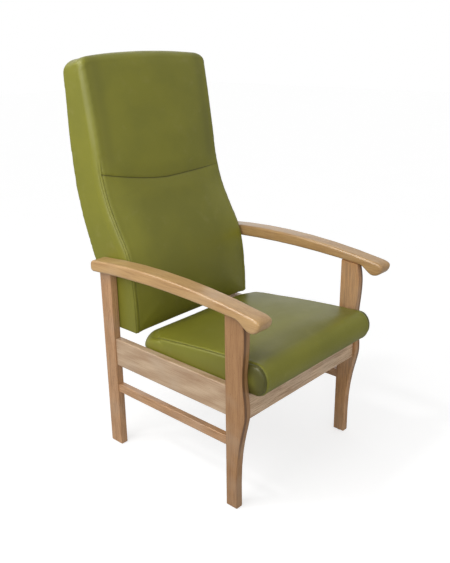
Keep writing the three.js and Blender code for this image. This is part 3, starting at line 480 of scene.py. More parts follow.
def outer_arris(tree, outer_face):
    """A narrow band on a front leg's front edge, beside its outer face and above its foot."""
    place = put(tree, "ShaderNodeSeparateXYZ", {0: placed(tree)}).outputs
    facing = put(tree, "ShaderNodeSeparateXYZ",
                 {0: put(tree, "ShaderNodeNewGeometry").outputs["Normal"]}).outputs
    from_face = maths(tree, "SUBTRACT", outer_face, maths(tree, "ABSOLUTE", place["X"]))
    band = times(tree, spread(tree, from_face, 0.0005, 0.003),
                 spread(tree, from_face, 0.008, 0.013, 1.0, 0.0))
    band = times(tree, band, spread(tree, place["Z"], 0.12, 0.24))
    forward = spread(tree, times(tree, facing["Y"], -1.0), 0.25, 0.75)
    return times(tree, times(tree, band, forward), 0.72)


def vinyl_finish(name, seams=(), painted_shade_name=None):
    """Soft upholstery vinyl with a fine leather grain. Each seam is the attribute that holds its gap,
    the attribute that limits it, how far its lines lie from it and how strong their painted shadow is.
    Another attribute can hold painted shade, which blends the vinyl towards the seam shadow colour."""
    material, tree, shader = new_material(name)
    c = colours()
    place = placed(tree)
    clouds = noise(tree, place, 7, 3)
    base = blended(tree, spread(tree, clouds, 0.35, 0.65, 0.15, 0.75), c.vinyl, c.vinyl_shade)
    # Painted shade: darkens the vinyl towards the seam shadow colour where the attribute says.
    if painted_shade_name:
        base = blended(tree, attribute(tree, painted_shade_name), base, c.seam)
    cells = put(tree, "ShaderNodeTexVoronoi", {
        "Vector": place, "Scale": 520, "Randomness": 1.0,
    }, feature="DISTANCE_TO_EDGE").outputs["Distance"]
    furrows = spread(tree, cells, 0.0, 0.22)
    fine = noise(tree, place, 900, 2)
    grain = maths(tree, "ADD", times(tree, furrows, 0.75), times(tree, fine, 0.35))
    base = blended(tree, spread(tree, furrows, 0.0, 1.0, 0.10, 0.0), base, c.seam)
    wear = noise(tree, place, 26, 4, 0.6)
    base = blended(tree, spread(tree, wear, 0.56, 0.8, 0.0, 0.14), base, (0.34, 0.32, 0.13))
    creases = noise(tree, placed(tree, (1.0, 0.35, 0.6)), 60, 3, 0.5, 0.8)
    normal = raised(tree, creases, 0.0006, 0.30)
    normal = raised(tree, grain, 0.00010, 0.55, normal)
    rough = spread(tree, clouds, 0.3, 0.7, 0.40, 0.48)
    for gap_name, reach_name, twin, dark in seams:
        near = maths(tree, "ABSOLUTE", attribute(tree, gap_name))
        if twin:
            near = maths(tree, "ABSOLUTE", maths(tree, "SUBTRACT", near, twin))
        shown = spread(tree, attribute(tree, reach_name), -0.0015, 0.001)
        # Painted shadow: a dark line in each seam's furrow and a softer darker band beside it.
        line = times(tree, spread(tree, near, 0.0003, 0.0014, dark, 0.0), shown)
        soft = times(tree, spread(tree, near, 0.001, 0.005, dark * 0.25, 0.0), shown)
        base = blended(tree, soft, base, c.seam)
        base = blended(tree, line, base, c.seam)
        pressed = times(tree, spread(tree, near, 0.0, 0.0022, -1.0, 0.0), shown)
        normal = raised(tree, pressed, 0.0012, 0.8, normal)
        rough = maths(tree, "ADD", rough, times(tree, line, 0.25))
    set_shader(shader, tree, Base_Color=base, Roughness=rough, Normal=normal,
               Specular_IOR_Level=0.42, Coat_Weight=0.10, Coat_Roughness=0.30)
    return material


def plywood_finish():
    material, tree, shader = new_material("plywood_veneer")
    layers = waves(tree, placed(tree), 52, "Z", 0.4, 1.0)
    streaks = noise(tree, placed(tree, (0.05, 1, 1)), 160, 4)
    base = blended(tree, times(tree, layers, 0.35), colours().plywood, (0.33, 0.19, 0.09))
    base = blended(tree, spread(tree, streaks, 0.4, 0.75, 0.0, 0.35), base, (0.40, 0.25, 0.12))
    set_shader(shader, tree, Base_Color=base, Normal=raised(tree, streaks, 0.0003, 0.5), Roughness=0.72)
    return material


def webbing_finish():
    material, tree, shader = new_material("webbing_weave")
    place = placed(tree)
    weave = times(tree, waves(tree, place, 170, "X", 0.1), waves(tree, place, 120, "Y", 0.1))
    base = blended(tree, weave, colours().webbing, (0.11, 0.08, 0.05))
    set_shader(shader, tree, Base_Color=base, Normal=raised(tree, weave, 0.0005, 0.8), Roughness=0.85)
    return material


def cloth_finish():
    material, tree, shader = new_material("under_cloth_weave")
    place = placed(tree)
    weave = times(tree, waves(tree, place, 330, "X", 0.3), waves(tree, place, 330, "Y", 0.3))
    dust = spread(tree, noise(tree, place, 14, 4), 0.5, 0.8, 0.0, 0.3)
    base = blended(tree, weave, colours().cloth, (0.035, 0.034, 0.033))
    base = blended(tree, dust, base, (0.06, 0.055, 0.05))
    set_shader(shader, tree, Base_Color=base, Normal=raised(tree, weave, 0.0002, 0.6),
               Roughness=0.9, Sheen_Weight=0.2)
    return material


def steel_finish():
    material, tree, shader = new_material("zinc_plated_steel")
    spangle = noise(tree, placed(tree), 240, 3)
    scratches = noise(tree, placed(tree, (1, 0.05, 1)), 900, 2)
    base = blended(tree, spread(tree, spangle, 0.4, 0.7, 0.0, 0.4), colours().steel, (0.42, 0.42, 0.40))
    rough = spread(tree, scratches, 0.3, 0.8, 0.24, 0.46)
    set_shader(shader, tree, Base_Color=base, Roughness=rough,
               Normal=raised(tree, scratches, 0.00004, 0.4), Metallic=1.0)
    return material


def nylon_finish():
    material, tree, shader = new_material("nylon_glide")
    scuffs = noise(tree, placed(tree, (1, 1, 0.3)), 420, 3)
    base = blended(tree, spread(tree, scuffs, 0.5, 0.8, 0.0, 0.5), colours().nylon, (0.11, 0.09, 0.08))
    rough = spread(tree, scuffs, 0.3, 0.8, 0.38, 0.6)
    set_shader(shader, tree, Base_Color=base, Roughness=rough,
               Normal=raised(tree, scuffs, 0.0001, 0.4))
    return material


def shared(name, finish):
    """The material of that name, made the first time that it is asked for."""
    return bpy.data.materials.get(name) or finish()


# Pieces

def finished(obj, slot, *nodes):
    """Fastens a new piece to the chair and hides the plain solids that it stands for."""
    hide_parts(*nodes)
    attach(obj, "root")


def object_from(bm, name, material):
    mesh = bpy.data.meshes.new(name)
    bm.to_mesh(mesh)
    bm.free()
    obj = bpy.data.objects.new(name, mesh)
    bpy.context.scene.collection.objects.link(obj)
    if material is not None:
        mesh.materials.append(material)
    return obj


def applied(obj):
    """Replaces the object's mesh by the one that its modifiers make."""
    bpy.context.view_layer.update()
    depsgraph = bpy.context.evaluated_depsgraph_get()
    mesh = bpy.data.meshes.new_from_object(
        obj.evaluated_get(depsgraph), preserve_all_data_layers=True, depsgraph=depsgraph)
    old = obj.data
    obj.modifiers.clear()
    obj.data = mesh
    bpy.data.meshes.remove(old)
    return obj


def discard(obj):
    mesh = obj.data
    bpy.data.objects.remove(obj)
    bpy.data.meshes.remove(mesh)


def wood_copy(node, finish):
    """A merged, smoothly shaded copy of a wooden part, which stands for it."""
    bm = bmesh.new()
    bm.from_mesh(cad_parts[node].data)
    bmesh.ops.remove_doubles(bm, verts=bm.verts, dist=MERGE_DISTANCE)
    for face in bm.faces:
        face.smooth = True
    for edge in bm.edges:
        edge.smooth = len(edge.link_faces) == 2 and edge.calc_face_angle(0) < SMOOTH_EDGE
    obj = object_from(bm, f"{node}_wood", finish)
    evened = obj.modifiers.new("Even shading", "WEIGHTED_NORMAL")
    evened.keep_sharp = True
    evened.weight = 80
    finished(obj, "beech", node)


def recoloured(nodes, finish):
    """Gives parts whose shape is right a better finish."""
    for name in nodes:
        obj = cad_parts[name]
        for slot in obj.material_slots:
            slot.material = finish


def sides(stem):
    return [f"{stem}_right", f"{stem}_left"]


# Curves that the cushions are drawn from

def ramp(value, low, high):
    """How far a value has come from the one limit to the other, from 0 to 1."""
    return np.clip((value - low) / (high - low), 0, 1)


def eased(share):
    return share * share * (3 - 2 * share)


def bell(value, middle, width):
    return np.exp(-((value - middle) / width) ** 2)


def line_through(heights, reaches):
    """A smooth curve through the named heights."""
    h = np.asarray(heights, float)
    r = np.asarray(reaches, float)
    before = np.maximum(np.arange(len(h)) - 1, 0)
    after = np.minimum(np.arange(len(h)) + 1, len(h) - 1)
    slopes = (r[after] - r[before]) / (h[after] - h[before])

    def at(z):
        z = np.asarray(z, float)
        i = np.clip(np.searchsorted(h, z) - 1, 0, len(h) - 2)
        span = h[i + 1] - h[i]
        t = np.clip((z - h[i]) / span, 0, 1)
        start = (1 + 2 * t) * (1 - t) ** 2 * r[i] + t * (1 - t) ** 2 * span * slopes[i]
        end = t * t * (3 - 2 * t) * r[i + 1] + t * t * (t - 1) * span * slopes[i + 1]
        return start + end
    return at


def edge_fall(radius, inset):
    """How far a rounded edge has fallen away, this far in from the side."""
    rest = np.clip(radius - inset, 0, radius)
    return radius - np.sqrt(radius * radius - rest * rest)


def edge_radius(z):
    """Radius of the back's front edges, which are sharper at the foot."""
    height = back_top_side() - back_low.z
    return line_through(back_low.z + np.array(edge_round_height_shares) * height,
                        np.array(edge_round_shares) * sizes().edge_reach)(z)


def crown_share(z):
    """How far the back's front has swollen at this height: it is flat across at the foot."""
    return ramp(z - back_low.z, 0, BACK_CROWN_FADE)


def arc(y, z, radius_y, radius_z, start, end, count):
    angle = np.radians(np.linspace(start, end, count))
    return np.c_[y + radius_y * np.cos(angle), z + radius_z * np.sin(angle)]


def places_across(half, insets, middle):
    """Places across a cushion, close together near its sides."""
    inner = np.linspace(insets[-1], half, middle + 1)[1:]
    right = half - np.r_[insets, inner[:-1]]
    return np.r_[-right, 0.0, right[::-1]]


def rounded_insets(radius, count):
    return radius * (1 - np.cos(np.linspace(0, np.pi / 2, count)))


def seat_top(y, across):
    """Height of the seat's top, this far back and at this share of its half width."""
    s = sizes()
    share = ramp(y, seat_low.y, seat_high.y)
    straight = s.seat_front + (s.seat_rear - s.seat_front) * share
    crown = 4 * share * (1 - share) * (s.seat_side_crown + s.seat_mid_crown * (1 - across ** 2))
    full_corner = SEAT_FULL_CORNER * np.clip(across, 0, 1) ** 2 * ramp(share, *SEAT_FULL_CORNER_SHARES)
    return seat_low.z + straight + crown + full_corner


def seat_ring(x, layer):
    """The seat's outline in Y and Z at one place across it."""
    s = sizes()
    inset = seat_high.x - abs(x)
    across = x / seat_high.x
    fall = float(edge_fall(SEAT_EDGE_ROUND, inset))
    rear = seat_high.y - layer * SEAT_EDGE_SHARE - float(edge_fall(s.seat_corner, inset))
    depth = SEAT_NOSE_DEPTH - layer * SEAT_EDGE_SHARE - fall
    y_nose = seat_low.y + SEAT_NOSE_DEPTH
    z_low = seat_low.z + fall * SEAT_EDGE_SHARE
    base_round = SEAT_BASE_ROUND

    def top(y):
        return seat_top(y, across) - layer - fall
    half_nose = (top(y_nose) - z_low) / 2
    nose = arc(y_nose, z_low + half_nose, depth, half_nose, 270, 90, 33)
    sunk = float(ramp(inset, s.seat_corner, s.seat_corner / 3)) * (x < 0)
    run_out = SEAT_REAR_RUN_OUT + SEAT_CORNER_RUN_OUT * sunk
    y_run = rear - run_out
    y_crown = np.linspace(y_nose, y_run, 60)[1:-1]
    rear_round = min(SEAT_REAR_ROUND + SEAT_CORNER_FALL * sunk, top(rear) - z_low - base_round)
    rear_top = arc(y_run, top(rear) - rear_round, run_out, rear_round, 90, 0, 9)
    rear_low = arc(rear - base_round, z_low + base_round, base_round, base_round, 0, -90, 4)
    y_base = np.linspace(rear - base_round, y_nose, 30)[1:-1]
    ring = np.r_[nose, np.c_[y_crown, top(y_crown)], rear_top, rear_low,
                 np.c_[y_base, np.full(len(y_base), z_low)]]
    return np.c_[np.full(len(ring), x), ring]


def head_seam(x):
    """Height of the seam below the headrest."""
    s = sizes()
    rise = np.where(x < 0, s.head_seam_rise_left, s.head_seam_rise_right)
    return back_low.z + s.head_seam_height + rise * (np.abs(x) / back_high.x) ** 1.5


def back_top_side():
    """Height of the back's top, left out the rise along its middle."""
    return back_high.z - BACK_TOP_CROWN


def back_front_line():
    s = sizes()
    height = back_top_side() - back_low.z
    heights = back_low.z + np.array(front_height_shares) * height
    leans = np.array(front_lean_shares) * s.back_lean
    z = np.linspace(back_low.z, back_top_side(), 200)
    foremost = np.min(line_through(heights, leans)(z) - s.back_mid_crown * crown_share(z))
    return line_through(heights, back_low.y - foremost + leans)


def back_rear_line():
    s = sizes()
    height = back_top_side() - back_low.z
    y_foot = panel_high.y - s.back_rear_lean
    smooth = line_through(back_low.z + np.array(rear_height_shares) * height,
                          y_foot + np.array(rear_lean_shares) * s.back_rear_lean)
    rows = back_low.z + np.array(back_row_shares) * height
    return lambda z: np.interp(z, rows, smooth(rows))


def back_ring(x, layer, front_line, rear_line):
    """The back's outline in Y and Z at one place across it."""
    inset = back_high.x - abs(x)
    swell = 1 - (x / back_high.x) ** 2
    crown = sizes().back_mid_crown * swell
    rear_fall = float(edge_fall(BACK_REAR_ROUND, inset))
    corner = float(edge_fall(BACK_CORNER_WIDTH, inset)) * BACK_CORNER_DROP / BACK_CORNER_WIDTH
    z_top = back_top_side() + BACK_TOP_CROWN * swell - layer * 0.2 - corner
    z_low = back_low.z + layer * 0.1 + float(edge_fall(BACK_FOOT_CORNER, inset))
    foot, head_round, rear_round = BACK_FOOT_ROUND, BACK_TOP_FRONT_ROUND, BACK_TOP_REAR_ROUND

    def front(z):
        drawn = front_line(z) + layer * ramp(inset, 0, BACK_LAYER_INSET)
        return drawn + edge_fall(edge_radius(z), inset) - crown * crown_share(z)

    def rear(z):
        return rear_line(z) - rear_fall
    z_foot = z_low + foot
    z_head = z_top - head_round
    y_front_foot, y_rear_foot = float(front(z_foot)) + foot, float(rear(z_foot)) - foot
    foot_arc = arc(y_front_foot, z_foot, foot, foot, 270, 180, 6)
    z_front = np.linspace(z_foot, z_head, 100)[1:-1]
    y_head = float(front(z_head)) + head_round
    head = arc(y_head, z_head, head_round, head_round, 180, 90, 9)
    z_rear_head = z_top - BACK_TOP_FALL - rear_round
    y_rear_head = float(rear(z_rear_head)) - rear_round
    rear_head = arc(y_rear_head, z_rear_head, rear_round, rear_round, 90, 0, 9)
    share = np.linspace(0, 1, 8)[1:-1]
    fall = BACK_ROOF_START_SLOPE + (1 - BACK_ROOF_START_SLOPE) * share * (3 - 2 * share)
    roof = np.c_[y_head + (y_rear_head - y_head) * share, z_top - BACK_TOP_FALL * share * fall]
    z_back = np.linspace(z_rear_head, z_foot, 100)[1:-1]
    foot_rear = arc(y_rear_foot, z_foot, foot, foot, 0, -90, 5)
    base_y = np.linspace(y_rear_foot, y_front_foot, 10)[1:-1]
    ring = np.r_[foot_arc, np.c_[front(z_front), z_front], head, roof, rear_head,
                 np.c_[rear(z_back), z_back], foot_rear, np.c_[base_y, np.full(len(base_y), z_low)]]
    return np.c_[np.full(len(ring), x), ring]


def closed_form(name, places, ring_at):
    """A closed skin over the outlines at the given places."""
    rings = [ring_at(x) for x in places]
    count = len(rings[0])
    bm = bmesh.new()
    bmesh.ops.create_grid(bm, x_segments=count, y_segments=len(places) - 1, size=0.5)
    bm.verts.ensure_lookup_table()
    for row, ring in enumerate(rings):
        for column in range(count + 1):
            bm.verts[row * (count + 1) + column].co = Vector(ring[column % count])
    bmesh.ops.remove_doubles(bm, verts=bm.verts, dist=0.00001)
    rims = [edge for edge in bm.edges if len(edge.link_faces) == 1]
    bmesh.ops.holes_fill(bm, edges=rims, sides=0)
    bmesh.ops.recalc_face_normals(bm, faces=bm.faces)
    return object_from(bm, name, None)


def coordinates(mesh):
    flat = np.zeros(len(mesh.vertices) * 3)
    mesh.vertices.foreach_get("co", flat)
    return flat.reshape(-1, 3)


def normals(mesh):
    flat = np.zeros(len(mesh.vertices) * 3)
    mesh.vertex_normals.foreach_get("vector", flat)
    return flat.reshape(-1, 3)


def dressed(obj, finish):
    """Gives every face of a piece one finish and smooth shading."""
    obj.data.materials.clear()
    obj.data.materials.append(finish)
    for polygon in obj.data.polygons:
        polygon.material_index = 0
        polygon.use_smooth = True


def move_to(mesh, points):
    mesh.vertices.foreach_set("co", points.ravel())
    mesh.update()


def keep(mesh, name, values):
    """Stores one number at each point, for the finish to read."""
    layer = mesh.attributes.new(name, "FLOAT", "POINT")
    layer.data.foreach_set("value", np.asarray(values, np.float32))


def softened(obj):
    """Evens out and refines a mesh."""
    smooth = obj.modifiers.new("Soften", "SMOOTH")
    smooth.factor = 0.5
    smooth.iterations = 3
    finer = obj.modifiers.new("Finer", "SUBSURF")
    finer.levels = 1
    finer.render_levels = 1
    return applied(obj)


def evened_near(obj, place, reach):
    """Evens out the part of a mesh that lies round one place."""
    near = 1 - np.linalg.norm(coordinates(obj.data) - np.array(place), axis=1) / reach
    group = obj.vertex_groups.new(name="near")
    for index in np.flatnonzero(near > 0):
        group.add([int(index)], float(min(2 * near[index], 1)), "REPLACE")
    smooth = obj.modifiers.new("Even", "SMOOTH")
    smooth.factor = 0.5
    smooth.iterations = 30
    smooth.vertex_group = group.name
    applied(obj)
    obj.vertex_groups.clear()


def lost_form(even_mesh, form):
    """How far each point of a mesh would have to move for softening to keep the drawn form."""
    rest = bpy.data.objects.new("rest", even_mesh)
    bpy.context.scene.collection.objects.link(rest)
    soft = coordinates(softened(rest).data)
    wrap = rest.modifiers.new("Wrap", "SHRINKWRAP")
    wrap.target = form
    wrap.wrap_method = "NEAREST_SURFACEPOINT"
    kept = coordinates(applied(rest).data)
    discard(rest)
    return kept - soft


def swollen(obj, voxel, held, limits):
    """Remeshes a form evenly, lets it swell like filled cloth where it isn't held, and evens it out."""
    form = bpy.data.objects.new("form", obj.data.copy())
    bpy.context.scene.collection.objects.link(form)
    remesh = obj.modifiers.new("Even mesh", "REMESH")
    remesh.mode = "VOXEL"
    remesh.voxel_size = voxel
    remesh.use_smooth_shade = True
    applied(obj)
    regained = lost_form(obj.data.copy(), form)
    discard(form)
    blow_up(obj, held, limits)
    softened(obj)
    move_to(obj.data, coordinates(obj.data) + regained)


def blow_up(obj, held, limits):
    """Simulates a cover under pressure, and caps how far each point moves."""
    start = coordinates(obj.data)
    hold = held(start)
    group = obj.vertex_groups.new(name="held")
    for index in np.nonzero(hold > 0.01)[0]:
        group.add([int(index)], float(hold[index]), "REPLACE")
    cloth = obj.modifiers.new("Swell", "CLOTH").settings
    cloth.quality = 6
    cloth.mass = 0.25
    cloth.tension_stiffness = 12
    cloth.compression_stiffness = 12
    cloth.shear_stiffness = 4
    cloth.bending_stiffness = 0.6
    cloth.use_pressure = True
    cloth.uniform_pressure_force = 4
    cloth.effector_weights.gravity = 0
    cloth.vertex_group_mass = group.name
    cloth.pin_stiffness = 1
    scene = bpy.context.scene
    for step in range(1, sizes().frames + 1):
        scene.frame_set(step)
    applied(obj)
    scene.frame_set(1)
    move = coordinates(obj.data) - start
    length = np.linalg.norm(move, axis=1)
    limit = limits(start)
    share = np.where(length > limit, limit / np.maximum(length, 1e-9), 1.0)
    move_to(obj.data, start + move * share[:, None])
    obj.vertex_groups.clear()


def gathers(run, seed):
    """Uneven little folds along a seam, between -1 and 1."""
    total = np.zeros_like(run)
    for index, length in enumerate((0.031, 0.019, 0.0125)):
        total += np.sin(2 * np.pi * run / length + seed * (index + 1.3)) / (index + 1.2)
    return total / 1.9


def furrow(gap):
    """Height of the vinyl beside a seam: a narrow furrow between two low rolls."""
    s = sizes()
    inside = bell(gap, 0, s.seam_width)
    rolls = bell(np.abs(gap), 2.4 * s.seam_width, 1.4 * s.seam_width)
    return s.seam_depth * (0.3 * rolls - inside)


def twin_furrow(gap):
    """Height of the vinyl beside a seam stitched down on both sides: two furrows and a low band."""
    s = sizes()
    lines = bell(np.abs(gap), s.twin_seam / 2, 0.6 * s.seam_width)
    band = bell(gap, 0, 0.35 * s.twin_seam)
    return s.seam_depth * (0.3 * band - 0.5 * lines)


def cut_out(obj, cutters):
    """Takes the given solids away from a piece."""
    for cutter in cutters:
        boolean = obj.modifiers.new("Hollow", "BOOLEAN")
        boolean.operation = "DIFFERENCE"
        boolean.solver = "MANIFOLD"
        boolean.object = cutter
    applied(obj)
    for cutter in cutters:
        discard(cutter)


def box_cutter(low, high):
    bm = bmesh.new()
    bmesh.ops.create_cube(bm, size=1.0)
    size = Vector(high) - Vector(low)
    middle = (Vector(high) + Vector(low)) / 2
    place = Matrix.Translation(middle) @ Matrix.Diagonal((*size, 1))
    bmesh.ops.transform(bm, matrix=place, verts=bm.verts)
    return object_from(bm, "hollow", None)


def outline_cutter(outline, half):
    """A solid across the chair, whose outline in Y and Z is given."""
    bm = bmesh.new()
    corners = [bm.verts.new((-half, y, z)) for y, z in outline]
    face = bm.faces.new(corners)
    out = bmesh.ops.extrude_face_region(bm, geom=[face])
    moved = [part for part in out["geom"] if isinstance(part, bmesh.types.BMVert)]
    bmesh.ops.translate(bm, verts=moved, vec=(2 * half, 0, 0))
    bmesh.ops.recalc_face_normals(bm, faces=bm.faces)
    return object_from(bm, "hollow", None)


def bolt_cutter(node):
    low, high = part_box(node)
    bm = bmesh.new()
    bmesh.ops.create_cone(bm, cap_ends=True, segments=20, radius1=BOLT_HOLE_RADIUS,
                          radius2=BOLT_HOLE_RADIUS, depth=high.x - low.x + PAST_OUTSIDE)
    place = Matrix.Translation((low + high) / 2) @ Matrix.Rotation(math.pi / 2, 4, "Y")
    bmesh.ops.transform(bm, matrix=place, verts=bm.verts)
    return object_from(bm, "hollow", None)


# Seat

def seat_section():
    """The line of the seat's top edge from the rear, over the nose and back under it, in Y and Z."""
    y_nose = seat_low.y + SEAT_NOSE_DEPTH
    y_top = np.linspace(seat_high.y + 0.03, y_nose, 70)
    z_top = seat_top(np.minimum(y_top, seat_high.y), 1.0)
    half_nose = (float(seat_top(np.array(y_nose), 1.0)) - seat_low.z) / 2
    nose = arc(y_nose, seat_low.z + half_nose, SEAT_NOSE_DEPTH, half_nose, 90, 270, 40)[1:]
    return np.r_[np.c_[y_top, z_top], nose, [[y_nose + 0.05, seat_low.z]]]


def depth_inside(line, points):
    """Signed distance of points from a line, positive on its inner side, and their place along it."""
    start, end = line[:-1], line[1:]
    step = end - start
    length = np.linalg.norm(step, axis=1)
    before = np.r_[0, np.cumsum(length)[:-1]]
    best = np.full(len(points), np.inf)
    signed = np.zeros(len(points))
    along = np.zeros(len(points))
    for a, d, size, far in zip(start, step, length, before):
        offset = points - a
        t = np.clip(offset @ d / size ** 2, 0, 1)
        away = offset - t[:, None] * d
        distance = np.hypot(away[:, 0], away[:, 1])
        side = d[0] * offset[:, 1] - d[1] * offset[:, 0]
        nearer = distance < best
        best = np.where(nearer, distance, best)
        signed = np.where(nearer, np.where(side > 0, distance, -distance), signed)
        along = np.where(nearer, far + t * size, along)
    return signed, along


def seat_seam(points):
    """How far points lie from the seam between the seat's top panel and its side, and along it."""
    s = sizes()
    out, y = np.abs(points[:, 0]), points[:, 1]
    depth, along = depth_inside(seat_section(), points[:, 1:])
    from_side = seat_high.x - out
    from_rear = seat_high.y - y
    centre_x, centre_y = seat_high.x - s.seat_corner, seat_high.y - s.seat_corner
    in_corner = (out > centre_x) & (y > centre_y)
    round_corner = s.seat_corner - np.hypot(out - centre_x, y - centre_y)
    inset = np.where(in_corner, round_corner, np.minimum(from_side, from_rear))
    run = along + out * (from_rear < from_side)
    return inset - depth - SEAM_DROP, run


def cap_bulge(points):
    """How far the seat's end caps swell out, in front of the legs."""
    x, y, _ = points.T
    depth, _ = depth_inside(seat_section(), points[:, 1:])
    ahead = seat_low.y + SEAT_CAP_START - y
    rise = ramp(depth, 0, SEAT_CAP_RISE)
    bulge = SEAT_CAP_BULGE * rise * (2 - rise) * ramp(ahead, *SEAT_CAP_FREE)
    sunk = SEAT_CAP_SINK * bell(ahead, SEAT_CAP_SINK_PLACE, SEAT_CAP_SINK_WIDTH)
    return np.sign(x) * (bulge - sunk) * ramp(np.abs(x) - seat_high.x, *SEAT_CAP_EDGE)


def side_draw_in(points):
    """How far the seat's sides are drawn in towards their seam and towards the rails."""
    x, y, z = points.T
    z_rail = seat_low.z + SEAT_SINK
    z_seam = seat_top(y, 1.0)
    from_middle = np.clip((2 * z - z_rail - z_seam) / (z_seam - z_rail), -1, 1)
    on_side = ramp(np.abs(x) - seat_high.x, *SEAT_DRAW_IN_EDGE)
    return np.sign(x) * SEAT_DRAW_IN * from_middle ** 2 * on_side


def seat_painted_shade(points):
    """Painted shade on the seat's vinyl: most on the end caps, for the shadow beside the legs, with a
    lighter middle as a painted highlight; some on the sides behind the front legs and a little on top,
    more towards the right and the front."""
    x, y, _ = points.T
    depth, _ = depth_inside(seat_section(), points[:, 1:])
    behind = y - seat_low.y
    ahead = seat_low.y + SEAT_CAP_START - y
    on_side = ramp(np.abs(x) - seat_high.x, -0.010, -0.004)
    pillow_shading = PAINTED_SHADE_CAP - PAINTED_HIGHLIGHT_CAP_MIDDLE * bell(depth, 0.045, 0.016)
    beside_leg = PAINTED_SHADOW_BESIDE_LEG * ramp(ahead, 0.017, 0.013)
    cap = ramp(depth, 0, 0.004) * ramp(ahead, -0.008, -0.004) * np.maximum(pillow_shading, beside_leg)
    behind_leg = PAINTED_SHADE_BEHIND_LEG * bell(np.maximum(-ahead, 0.08), 0.08, 0.07)
    on_top = ramp(depth, 0.01, 0) * ramp(behind, 0.015, 0.045)
    right = PAINTED_SHADE_SEAT_RIGHT * ramp(x, -0.1, 0.2)
    front = PAINTED_SHADE_SEAT_FRONT * ramp(behind, 0.17, 0.09)
    return np.maximum(on_side * np.maximum(cap, behind_leg), on_top * np.maximum(right, front))


class FIRESIDE_OT_seat_cushion(bpy.types.Operator):
    """Swells the seat's padding, sews its seam and hollows it for the frame below"""
    bl_idname = "fireside.seat_cushion"
    bl_label = "Seat cushion"

    def execute(self, context):
        s = sizes()
        layer = s.seat_swell * 0.5
        insets = np.r_[rounded_insets(SEAT_EDGE_ROUND, 5),
                       np.linspace(SEAT_EDGE_ROUND, s.seat_corner, 12)[1:]]
        places = places_across(seat_high.x, insets, 20)
        obj = closed_form("seat_cushion", places, lambda x: seat_ring(x, layer))

        def held(points):
            gap, _ = seat_seam(points)
            base = ramp(points[:, 2] - seat_low.z, *SEAT_BASE_HOLD)
            return np.maximum(ramp(np.abs(gap), *SEAM_HOLD), base)

        def limits(points):
            beside = ramp(seat_high.x - np.abs(points[:, 0]), *SEAT_SWELL_INSETS)
            return SEAT_LEAST_SWELL + beside * s.seat_swell
        swollen(obj, s.voxel, held, limits)
        self.sew(obj)
        self.hollow(obj)
        points = coordinates(obj.data)
        gap, _ = seat_seam(points)
        to_corner = (seat_high.y - SUNK_CORNER_SEAM_END[0] - points[:, 1]) * 0.05
        keep(obj.data, "seam_gap", gap)
        keep(obj.data, "seam_shown", np.where(points[:, 0] > 0, 0.01, to_corner))
        # This attribute holds painted shade for the seat's vinyl.
        keep(obj.data, "painted_shade", seat_painted_shade(points))
        dressed(obj, vinyl_finish("seat_vinyl", [("seam_gap", "seam_shown", 0.0, 0.7)], "painted_shade"))
        finished(obj, "vinyl", "seat_cover", "seat_foam")
        return {"FINISHED"}

    def sew(self, obj):
        """Draws the seams in, gathers the vinyl beside them and shapes the end caps and sides."""
        points = coordinates(obj.data)
        x, y, _ = points.T
        gap, run = seat_seam(points)
        fold = gathers(run, 2.1) * sizes().pucker * np.exp(-np.abs(gap) / 0.011)
        at_nose = np.maximum(ramp(y - seat_low.y, 0.06, 0.01), 0.25)
        before_corner = np.maximum(ramp(seat_high.y - y, *SUNK_CORNER_SEAM_END), x > 0)
        height = (furrow(gap) + fold * at_nose) * before_corner
        points = points + normals(obj.data) * height[:, None]
        reach = leg_inner - SEAT_LEG_ROOM
        points[:, 0] = np.clip(points[:, 0], -reach, reach)
        points[:, 2] = np.maximum(points[:, 2], seat_low.z)
        points[:, 0] += cap_bulge(points) - side_draw_in(points)
        move_to(obj.data, points)
        in_from_side, in_from_rear = SUNK_CORNER_INSETS
        z_corner = float(seat_top(seat_high.y, 1.0))
        corner = (in_from_side - seat_high.x, seat_high.y - in_from_rear, z_corner)
        evened_near(obj, corner, SUNK_CORNER_REACH)

    def hollow(self, obj):
        """Makes room for the seat's frame and webs, and opens the padding below the webs."""
        low = Vector((-seat_side_high.x, seat_frame_low.y, seat_frame_low.z))
        high = Vector((seat_side_high.x, seat_side_high.y, seat_web_high.z))
        spare = Vector((SPARE, SPARE, SPARE))
        tuck = SEAT_TUCK
        window_low = (low.x + tuck, low.y + tuck, seat_low.z - PAST_OUTSIDE)
        window_high = (high.x - tuck, high.y - tuck, low.z + 0.002)
        cut_out(obj, [box_cutter(low - spare, high + spare), box_cutter(window_low, window_high)])


